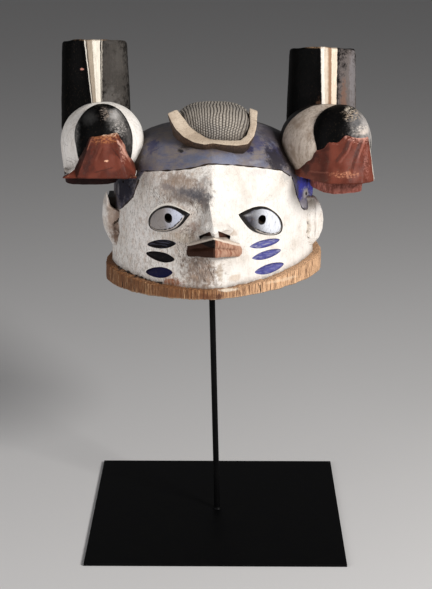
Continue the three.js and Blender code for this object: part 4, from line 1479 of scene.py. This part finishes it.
def moundPaint(tree, place, colour, ragged):
    # dark furrows between the ribs: painted shade in the grooves
    across = attribute(tree, "rib")
    rib = between(tree, maths(tree, "PINGPONG", across, 0.5), 0.05, 0.3)
    colour = blend(tree, rib, tone(78, 70, 64), colour)
    # small cuts across each rib, stepped from one rib to the next, drawn dark as painted shade
    step = maths(tree, "MULTIPLY", maths(tree, "FLOOR", across), 0.5)
    row = maths(tree, "MULTIPLY_ADD", attribute(tree, "run"), 1 / mound["beadLength"], step)
    knot = maths(tree, "PINGPONG", maths(tree, "ADD", row, maths(tree, "MULTIPLY", ragged, 0.5)), 0.5)
    low = maths(tree, "SUBTRACT", 1.6, between(tree, along(tree, place, upward), 404, 426))
    cut = below(tree, knot, 0.12, 0.3)
    colour = masked(tree, colour, tone(52, 46, 42), cut, low, 0.9)
    bead = maths(tree, "MULTIPLY", between(tree, knot, 0.02, 0.4), rib)
    return colour, maths(tree, "MULTIPLY", bead, 1.4)


def rimPaint(tree, place, colour, ragged):
    # raw wood, paler to the right as painted light and darker in broad patches on the left as painted shade,
    # with dark and pale upright fibres and a light lower edge
    right = between(tree, along(tree, place, sideways), -25, 60)
    colour = masked(tree, colour, tone(226, 182, 142), right, 0.85)
    lines = between(tree, grain(tree, place, (0.7, 0.7, 20), 4, 0.7, 17), 0.49, 0.57)
    colour = masked(tree, colour, tone(74, 42, 26), lines, 0.95)
    pale = between(tree, grain(tree, place, (1.1, 1.1, 16), 4, 0.7, 87), 0.54, 0.66)
    colour = masked(tree, colour, tone(228, 186, 142), pale, 0.6)
    broad = between(tree, grain(tree, place, (9, 9, 40), 2, 0.5, 91), 0.45, 0.62)
    colour = masked(tree, colour, tone(116, 74, 46), broad, rest(tree, right), 0.55)
    edge = below(tree, along(tree, place, (-rim["roll"], 0, 1), rim["underZ"] + 0.2), 0.4, 2.4)
    colour = masked(tree, colour, tone(214, 182, 150), edge, 0.5)
    return dabs(tree, place, colour, rimPatches, ragged)


rimPatches = [
    ((-57, -66, 256), (5, 8, 6), tone(88, 52, 32), 0.75),
    ((-10, -96, 261), (12, 8, 5), tone(96, 56, 34), 0.7),
    ((3, -95, 262), (5, 8, 4), tone(78, 44, 28), 0.85),
    ((-74, -50, 262), (3, 8, 8), tone(110, 70, 42), 0.6),
    ((14, -94, 268), (14, 8, 2.4), tone(228, 214, 194), 0.8),
    ((70, -66, 270), (40, 20, 2.2), tone(226, 200, 170), 0.5),
]


def eyePaint(tree, place, colour, ragged):
    # each eyeball is painted from grey to white across its width: painted shade on its left part, darkest at
    # the right eye's inner corner
    x = along(tree, place, sideways)
    left = blend(tree, between(tree, x, -50, -38), tone(166, 158, 153), tone(196, 200, 214))
    right = blend(tree, between(tree, x, 32, 52), tone(40, 38, 45), tone(226, 229, 236))
    colour = blend(tree, between(tree, x, -1, 1), left, right)
    brush = between(tree, grain(tree, place, (1.2, 1.2, 7), 4, 0.65, 9), 0.5, 0.7)
    colour = masked(tree, colour, tone(118, 116, 132), brush, 0.45)
    depth = torn(tree, attribute(tree, "eyeInside"), ragged, 1.0)
    for one in eyes:
        middle = (one["pupilX"], -75, one["pupilZ"] - 1.2)
        pupil = dab(tree, place, middle, (3.9, 60, 4.2), ragged, 0.12, 0.3)
        colour = blend(tree, pupil, colour, tone(8, 7, 7))
    lower = eyeLower(tree, place)
    # the lower line is double and beaded, except at the right eye's inner corner
    plain = within(tree, x, 0, 37, 2)
    beaded = maths(tree, "MULTIPLY", lower, rest(tree, plain))
    thin = maths(tree, "MULTIPLY", plain, rest(tree, lower))
    solid = maths(tree, "MULTIPLY_ADD", thin, 0.9, depth)
    solid = below(tree, solid, 1.2, 1.9)
    outer = below(tree, depth, 0.4, 0.8)
    beads = between(tree, grain(tree, place, 2.6, 2, 0.5, 73), 0.4, 0.5)
    inner = maths(tree, "MULTIPLY", within(tree, depth, 1.6, 2.7, 0.2), beads)
    double = maths(tree, "MAXIMUM", outer, inner)
    line = maths(tree, "MULTIPLY_ADD", beaded, maths(tree, "SUBTRACT", double, solid), solid)
    colour = masked(tree, colour, tone(186, 174, 160), within(tree, depth, 0.6, 1.7, 0.2), beaded, 0.8)
    return blend(tree, line, colour, tone(14, 12, 12))


def beakPaint(patches, chips, lines, bevelTone, whiteEdge=None):
    # red facets, a chipped bevel at the top, painted shade on faces turned to the left, carved edges as
    # drawn lines: dark ones painted shade, pale ones chips and painted highlight
    def overlay(tree, place, colour, ragged):
        facet = grain(tree, place, (13, 13, 16), 1, 0.3, 2)
        colour = blend(tree, between(tree, facet, 0.4, 0.6), colour, tone(108, 52, 38))
        bevel = between(tree, facing(tree, (0, -0.5, 0.86)), 0.8, 0.92)
        bevel = maths(tree, "MULTIPLY", bevel, between(tree, along(tree, place, upward), 400, 403))
        chipped = between(tree, grain(tree, place, 2.6, 4, 0.75, 51), 0.46, 0.54)
        colour = masked(tree, colour, bevelTone, bevel, chipped, 0.6)
        shaded = between(tree, facing(tree, (-0.68, -0.3, 0.66)), 0.78, 0.9)
        colour = masked(tree, colour, tone(44, 20, 16), shaded, 0.6)
        colour = dabs(tree, place, colour, patches, ragged)
        broken = between(tree, grain(tree, place, (2.2, 2.2, 1.8), 4, 0.75, 57), 0.46, 0.56)
        for middle, size, paint in chips:
            colour = masked(tree, colour, paint, dab(tree, place, middle, size, ragged), broken, 0.85)
        colour = strokes(tree, place, colour, lines, ragged)
        if whiteEdge:
            direction, start = whiteEdge
            edge = torn(tree, along(tree, place, direction, start), ragged, 2)
            colour = blend(tree, between(tree, edge, -0.4, 0.4), colour, tone(224, 216, 204))
        return colour
    return overlay


def shadedMarkPaint(tree, place, colour, ragged):
    # near-black marks, the blue of the cheek marks under painted shade: the top one streaked grey as painted
    # highlight, the lowest one dark blue
    height = along(tree, place, upward)
    streak = between(tree, grain(tree, place, (9, 9, 1.3), 3, 0.6, 3), 0.5, 0.64)
    top = between(tree, height, 299, 301)
    colour = masked(tree, colour, tone(84, 84, 104), streak, top, 0.8)
    low = below(tree, height, 285, 287)
    return masked(tree, colour, tone(22, 24, 66), low, 0.85)


def blueMarkPaint(tree, place, colour, ragged):
    # rubbed pale, most of all on the top mark
    streak = between(tree, grain(tree, place, (7, 7, 1.4), 3, 0.6, 3), 0.46, 0.66)
    top = between(tree, along(tree, place, upward), 287, 302)
    return masked(tree, colour, tone(152, 152, 176), streak, maths(tree, "MULTIPLY_ADD", top, 0.5, 0.35))


def lipPaint(tree, place, colour, ragged):
    # the right slab is painted a lighter red than the near-black left one: painted light on the right,
    # painted shade on the left
    worn = blend(tree, between(tree, grain(tree, place, (3, 3, 5), 5, 0.7, 29), 0.42, 0.62),
                 tone(112, 60, 50), tone(158, 98, 86))
    colour = blend(tree, between(tree, along(tree, place, sideways), -1, 1), colour, worn)
    # the ledge that shows behind the skirt belongs to the white ring
    return blend(tree, between(tree, facing(tree, upward), 0.6, 0.8), colour, tone(222, 213, 203))


def makeMaterials():
    paintedWood("face", {**white, "mottle": 22, "wornFrom": 0.88, "wear": 0.25, "streak": 0.14, "dirtAndShade": 0.85,
                         "cracks": 0.2, "crackSize": 8, "specks": 0.22}, headPaint)
    paintedWood("ear", {**white, "mottle": 16, "wornFrom": 0.84, "dirtAndShade": 0.9}, scuffsAndPaintedLight(earPatches))
    # the left hood's white is paler than the face's, painted light; the right hood's is darker and browner,
    # dirt with painted shade
    paintedWood("hoodLeft", {**white, "paint": tone(253, 248, 241), "faded": tone(240, 231, 220),
                             "wornFrom": 0.88, "streak": 0.1, "wear": 0.25, "specks": 0.3},
                hoodPaint(hoods[0], 0.3))
    paintedWood("hoodRight", {**white, "paint": tone(198, 184, 170), "faded": tone(156, 138, 122),
                              "mottle": 12, "wornFrom": 0.84, "streak": 0.2, "dirtAndShade": 1.0},
                hoodPaint(hoods[1], 0.9))
    line = tone(30, 27, 26)
    paintedWood("postLeft", {**black, "wornFrom": 0.96, "streak": 0.3},
                stripePaint(posts[0], [
                    (-1.0, tone(236, 228, 214)), (-0.86, line), (-0.7, softBands["cream"]),
                    (0.02, tone(236, 228, 212)), (1.0, line), (1.16, tone(180, 172, 160)), (1.28, None)],
                    # grey over the post's right half, rubbed paint and painted sheen, and a pink scratch
                    [((-96, -12, 455), (24, 40, 75), tone(74, 70, 66), 0.8),
                     ((-101, -12, 425), (12, 30, 26), tone(98, 94, 90), 0.6),
                     ((-92, -12, 470), (9, 30, 20), tone(84, 80, 76), 0.5),
                     ((-127.5, -12, 462), (2.4, 8, 1.3), tone(196, 138, 124), 1.0)]))
    paintedWood("postRight", {**black, "wornFrom": 0.98, "streak": 0.3, "specks": 0.1},
                stripePaint(posts[1], [
                    (-1.0, tone(244, 236, 224)), (-0.62, tone(222, 206, 186)), (-0.2, softBands["tan"]),
                    (0.2, tone(232, 214, 192)), (0.86, line), (1.0, None)],
                    # grey over the post's right half and edge, rubbed paint and painted sheen, and brown
                    # rubbed patches
                    [((129, -8, 440), (19, 30, 75), tone(108, 100, 97), 0.85),
                     ((131, -8, 452), (5, 30, 40), tone(128, 124, 126), 0.6),
                     ((122, -14, 425), (4.5, 20, 40), tone(118, 86, 70), 0.7),
                     ((98, -14, 415), (4, 20, 24), tone(104, 76, 58), 0.6)]))
    paintedWood("domeLeft", {**black, "wornFrom": 0.86, "streak": 0.35},
                # grey on the black dome: painted sheen with rubbed paint, then grey scratches
                scuffsAndPaintedLight([((-92, -56, 421), (14, 16, 17), tone(142, 138, 134), 0.8),
                         ((-94, -58, 427), (7, 16, 7), tone(184, 180, 176), 0.75),
                         ((-103, -62, 433), (5, 12, 7), tone(100, 92, 86), 0.65),
                         ((-118, -58, 424), (12, 16, 9), tone(66, 65, 64), 0.6),
                         ((-84, -48, 402), (9, 20, 20), tone(112, 108, 106), 0.7),
                         ((-131, -50, 404), (8, 20, 24), tone(96, 94, 92), 0.75)],
                        [((-101, -62, 430), (10, 12, 8), tone(126, 114, 104)),
                         ((-91, -56, 414), (9, 14, 10), tone(168, 162, 156)),
                         ((-131, -50, 408), (6, 14, 16), tone(118, 114, 110))]))
    edgeWay = hoodFrame(hoods[1]).to_3x3() @ Vector((1, 0, 0))
    frameStart = edgeWay.dot(Vector((hoods[1]["x"], hood["y"], 0)))
    paintedWood("domeRight", {**black, "wornFrom": 0.86, "streak": 0.35},
                # grey-white over the dome's right part: painted sheen with rubbed paint, then scratches and
                # the pale right edge
                scuffsAndPaintedLight([((146, -52, 417), (29, 38, 27), tone(172, 166, 162), 0.95),
                         ((131, -60, 421), (8, 16, 10), tone(92, 92, 94), 0.7),
                         ((140, -60, 411), (15, 14, 4), tone(214, 200, 188), 0.9)],
                        [((127, -56, 427), (11, 18, 7), tone(164, 148, 130)),
                         ((124, -52, 431), (6, 14, 3.4), tone(190, 178, 162)),
                         ((138, -56, 414), (16, 18, 5), tone(196, 186, 176))],
                        (tuple(edgeWay), frameStart + 25)))
    red = {"paint": tone(90, 39, 26), "faded": tone(72, 32, 23), "bare": tone(170, 122, 92), "cracks": 0.4,
           "gloss": 0.2, "rough": (0.5, 0.7), "tornSize": 3.5}
    paintedWood("beakLeft", {**red, "wornFrom": 0.86, "streak": 0.12},
                beakPaint([((-85, -68, 399), (3, 14, 12), tone(190, 136, 114), 0.65),
                           ((-101, -76, 386.5), (2.6, 8, 1.3), tone(214, 164, 134), 1.0),
                           # dark red over the beak's left side: painted shade
                           ((-120, -70, 392), (7, 20, 22), tone(46, 22, 18), 0.6)],
                          [((-103, -68, 408), (19, 14, 8), tone(176, 112, 70)),
                           ((-98, -68, 411), (15, 12, 3), tone(216, 188, 164)),
                           ((-86, -66, 396), (3.6, 14, 16), tone(206, 156, 138))],
                          [((-116, 408), (-121, 397), 1.3, tone(42, 20, 16), 0.85),
                           ((-121, 397), (-130, 377), 1.6, tone(42, 20, 16), 0.85),
                           ((-114, 407), (-119, 396), 0.8, tone(150, 92, 70), 0.6),
                           ((-105, 400), (-111, 386), 1.3, tone(132, 74, 58), 0.4),
                           ((-96, 398), (-88, 388), 0.8, tone(62, 28, 22), 0.7),
                           ((-95, 380), (-112, 376), 0.9, tone(62, 30, 22), 0.6),
                           ((-91, 405), (-86.6, 397), 1.0, tone(210, 164, 146), 0.85),
                           ((-86.6, 397), (-82, 387), 0.9, tone(206, 156, 138), 0.75),
                           ((-82, 387), (-76, 377), 0.8, tone(176, 116, 96), 0.6)],
                          tone(176, 122, 86)))
    paintedWood("beakRight", {**red, "wornFrom": 0.84, "streak": 0.12},
                beakPaint([((138, -60, 406.5), (13, 16, 3.6), tone(196, 140, 124), 0.9),
                           # dark over the beak's left part, here and in the next line: painted shade
                           ((90, -57, 389), (7, 22, 9), tone(50, 24, 19), 0.8),
                           ((84, -48, 376), (7, 22, 9), tone(50, 24, 19), 0.8),
                           ((136, -76, 390), (14, 16, 14), tone(118, 62, 50), 0.5),
                           ((128, -82, 374.5), (4.5, 8, 1.2), tone(206, 140, 84), 0.8)],
                          [((134, -60, 405), (16, 16, 6), tone(204, 152, 136)),
                           ((120, -72, 374), (16, 14, 4), tone(190, 128, 96)),
                           ((140, -66, 384), (4, 14, 22), tone(150, 94, 82))],
                          [((105.5, 408), (91, 396), 2.0, tone(46, 22, 18), 0.7),
                           ((91, 396), (83, 380), 2.2, tone(46, 22, 18), 0.7),
                           ((107.4, 406), (93.4, 393), 1.0, tone(134, 78, 66), 0.6),
                           ((122.6, 405), (118.6, 396), 2.4, tone(56, 27, 22), 0.65),
                           ((118.6, 396), (111, 386), 2.2, tone(56, 27, 22), 0.6),
                           ((126, 404.5), (122, 395), 1.2, tone(146, 88, 74), 0.55),
                           ((122, 395), (114.6, 385), 1.2, tone(136, 80, 68), 0.5),
                           ((135, 405), (128.6, 389), 2.6, tone(58, 28, 23), 0.65),
                           ((128.6, 389), (126.5, 379), 2.0, tone(58, 28, 23), 0.5),
                           ((138.6, 404), (132, 389), 1.3, tone(160, 102, 88), 0.55),
                           ((104, 376), (88, 373), 0.9, tone(140, 84, 70), 0.5)],
                          tone(206, 152, 136), (tuple(edgeWay), frameStart + 18.8)))
    paintedWood("lip", {"paint": tone(34, 8, 6), "faded": tone(24, 7, 6), "bare": tone(120, 74, 60),
                        "dirtAndShadeColour": tone(20, 12, 10), "gloss": 0.15, "specks": 0.3,
                        "wornFrom": 0.88, "streakSize": (2.2, 2.2, 12), "streak": 0.15}, lipPaint)
    paintedWood("mouth", {"paint": tone(150, 104, 80), "faded": tone(120, 80, 60),
                          "bare": tone(200, 158, 124), "wornFrom": 0.9,
                          "streakSize": (1.2, 1.2, 9), "streak": 0.25, "dirtAndShade": 0.5,
                          "dirtAndShadeColour": tone(40, 24, 16), "gloss": 0.15, "specks": 0.25}, mouthPaint)
    paintedWood("band", {"paint": tone(216, 198, 176), "faded": tone(192, 172, 150),
                         "bare": tone(160, 130, 102), "wornFrom": 0.86, "streak": 0.16, "cracks": 0.4,
                         "crackSize": 7}, bandPaint)
    paintedWood("mound", {"paint": tone(196, 186, 172), "faded": tone(168, 162, 154),
                          "bare": tone(150, 128, 100), "wornFrom": 0.9, "streak": 0.1, "dirtAndShade": 0.6},
                moundPaint)
    paintedWood("rawRim", {"paint": tone(142, 98, 62), "faded": tone(120, 78, 48),
                           "bare": tone(204, 168, 132), "wornFrom": 0.88,
                           "streakSize": (1.6, 1.6, 24), "streak": 0.35, "relief": 1.0,
                           "streakRelief": 1.0, "dirtAndShade": 0.5, "gloss": 0.25}, rimPaint)
    # the block behind the left ear: near black as painted shade
    paintedWood("earBackPaintedShade", {"paint": tone(30, 24, 22), "faded": tone(20, 18, 20), "bare": tone(70, 52, 40)})
    paintedWood("lidLine", {"paint": tone(20, 18, 18), "faded": tone(34, 29, 27), "bare": tone(110, 92, 76),
                            "wornFrom": 0.95})
    paintedWood("cutLine", {"paint": tone(44, 35, 30), "faded": tone(70, 56, 46), "bare": tone(130, 108, 86),
                            "wornFrom": 0.95})
    paintedWood("eyeball", {**white, "streak": 0.08, "wornFrom": 1.2, "rough": (0.35, 0.5), "dirtAndShade": 0.2},
                eyePaint)
    paintedWood("pupil", {"paint": tone(8, 7, 7), "faded": tone(14, 12, 11), "bare": tone(30, 24, 20),
                          "specks": 0})
    # the left cheek's marks: dark navy deepened to near black, painted shade beside the blue right ones
    paintedWood("markPaintedShade", {"paint": tone(10, 9, 16), "faded": tone(14, 12, 14), "bare": tone(96, 92, 108),
                             "wornFrom": 0.92, "streakSize": (1.4, 1.4, 6), "streak": 0.3, "dirtAndShade": 0.3,
                             "gloss": 0.15}, shadedMarkPaint)
    paintedWood("markBlue", {"paint": tone(82, 84, 150), "faded": tone(62, 64, 128),
                             "bare": tone(138, 138, 170), "wornFrom": 0.84, "streakSize": (1.4, 1.4, 6),
                             "streak": 0.3, "dirtAndShade": 0.3}, blueMarkPaint)
    paintedWood("nostril", {"paint": tone(92, 54, 38), "faded": tone(56, 32, 22), "bare": tone(150, 104, 80),
                            "dirtAndShade": 0.9, "dirtAndShadeReach": 5, "dirtAndShadeColour": tone(34, 20, 13), "gloss": 0.15})
    paintedWood("inside", {"paint": tone(124, 88, 58), "faded": tone(92, 64, 44), "bare": tone(150, 112, 78),
                           "streakSize": (3, 3, 30), "streak": 0.3, "rough": (0.7, 0.9), "relief": 1.0})
    print("materials")


steel = {"dark": tone(3, 3, 4), "light": tone(7, 7, 7), "rough": (0.4, 0.2), "gloss": 0.07,
         "reliefDepth": 0.1, "relief": 0.5}


def makeSteel():
    # black lacquered steel: a faint cloud in its colour and gloss, and a fine grain
    made = bpy.data.materials.new("blackSteel")
    made.use_nodes = True
    tree = made.node_tree
    shader = tree.nodes["Principled BSDF"]
    place = placeOf(tree)
    cloud = grain(tree, place, 18, 4, 0.6, 2)
    fine = grain(tree, place, 0.7, 2, 0.6, 5)
    colour = blend(tree, between(tree, cloud, 0.35, 0.7), steel["dark"], steel["light"])
    tree.links.new(colour, shader.inputs["Base Color"])
    evenly, clouded = steel["rough"]
    tree.links.new(maths(tree, "MULTIPLY_ADD", cloud, clouded, evenly), shader.inputs["Roughness"])
    shader.inputs["Specular IOR Level"].default_value = steel["gloss"]
    bump = node(tree, "Bump", {"Height": fine, "Distance": steel["reliefDepth"] * mm,
                               "Strength": steel["relief"]})
    tree.links.new(bump.outputs[0], shader.inputs["Normal"])
    materials["steel"] = made


makeCamera()
makeStudio()
makeMaterials()
makeSteel()
mask = buildMask()
mask.data.shade_smooth()
mask.data.set_sharp_from_angle(angle=math.radians(38))  # edges sharper than this stay crisp
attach(mask, "root")
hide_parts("mask")
for name in ("support_rod", "base_plate"):
    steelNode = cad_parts[name]
    steelNode.data.materials.clear()
    steelNode.data.materials.append(materials["steel"])
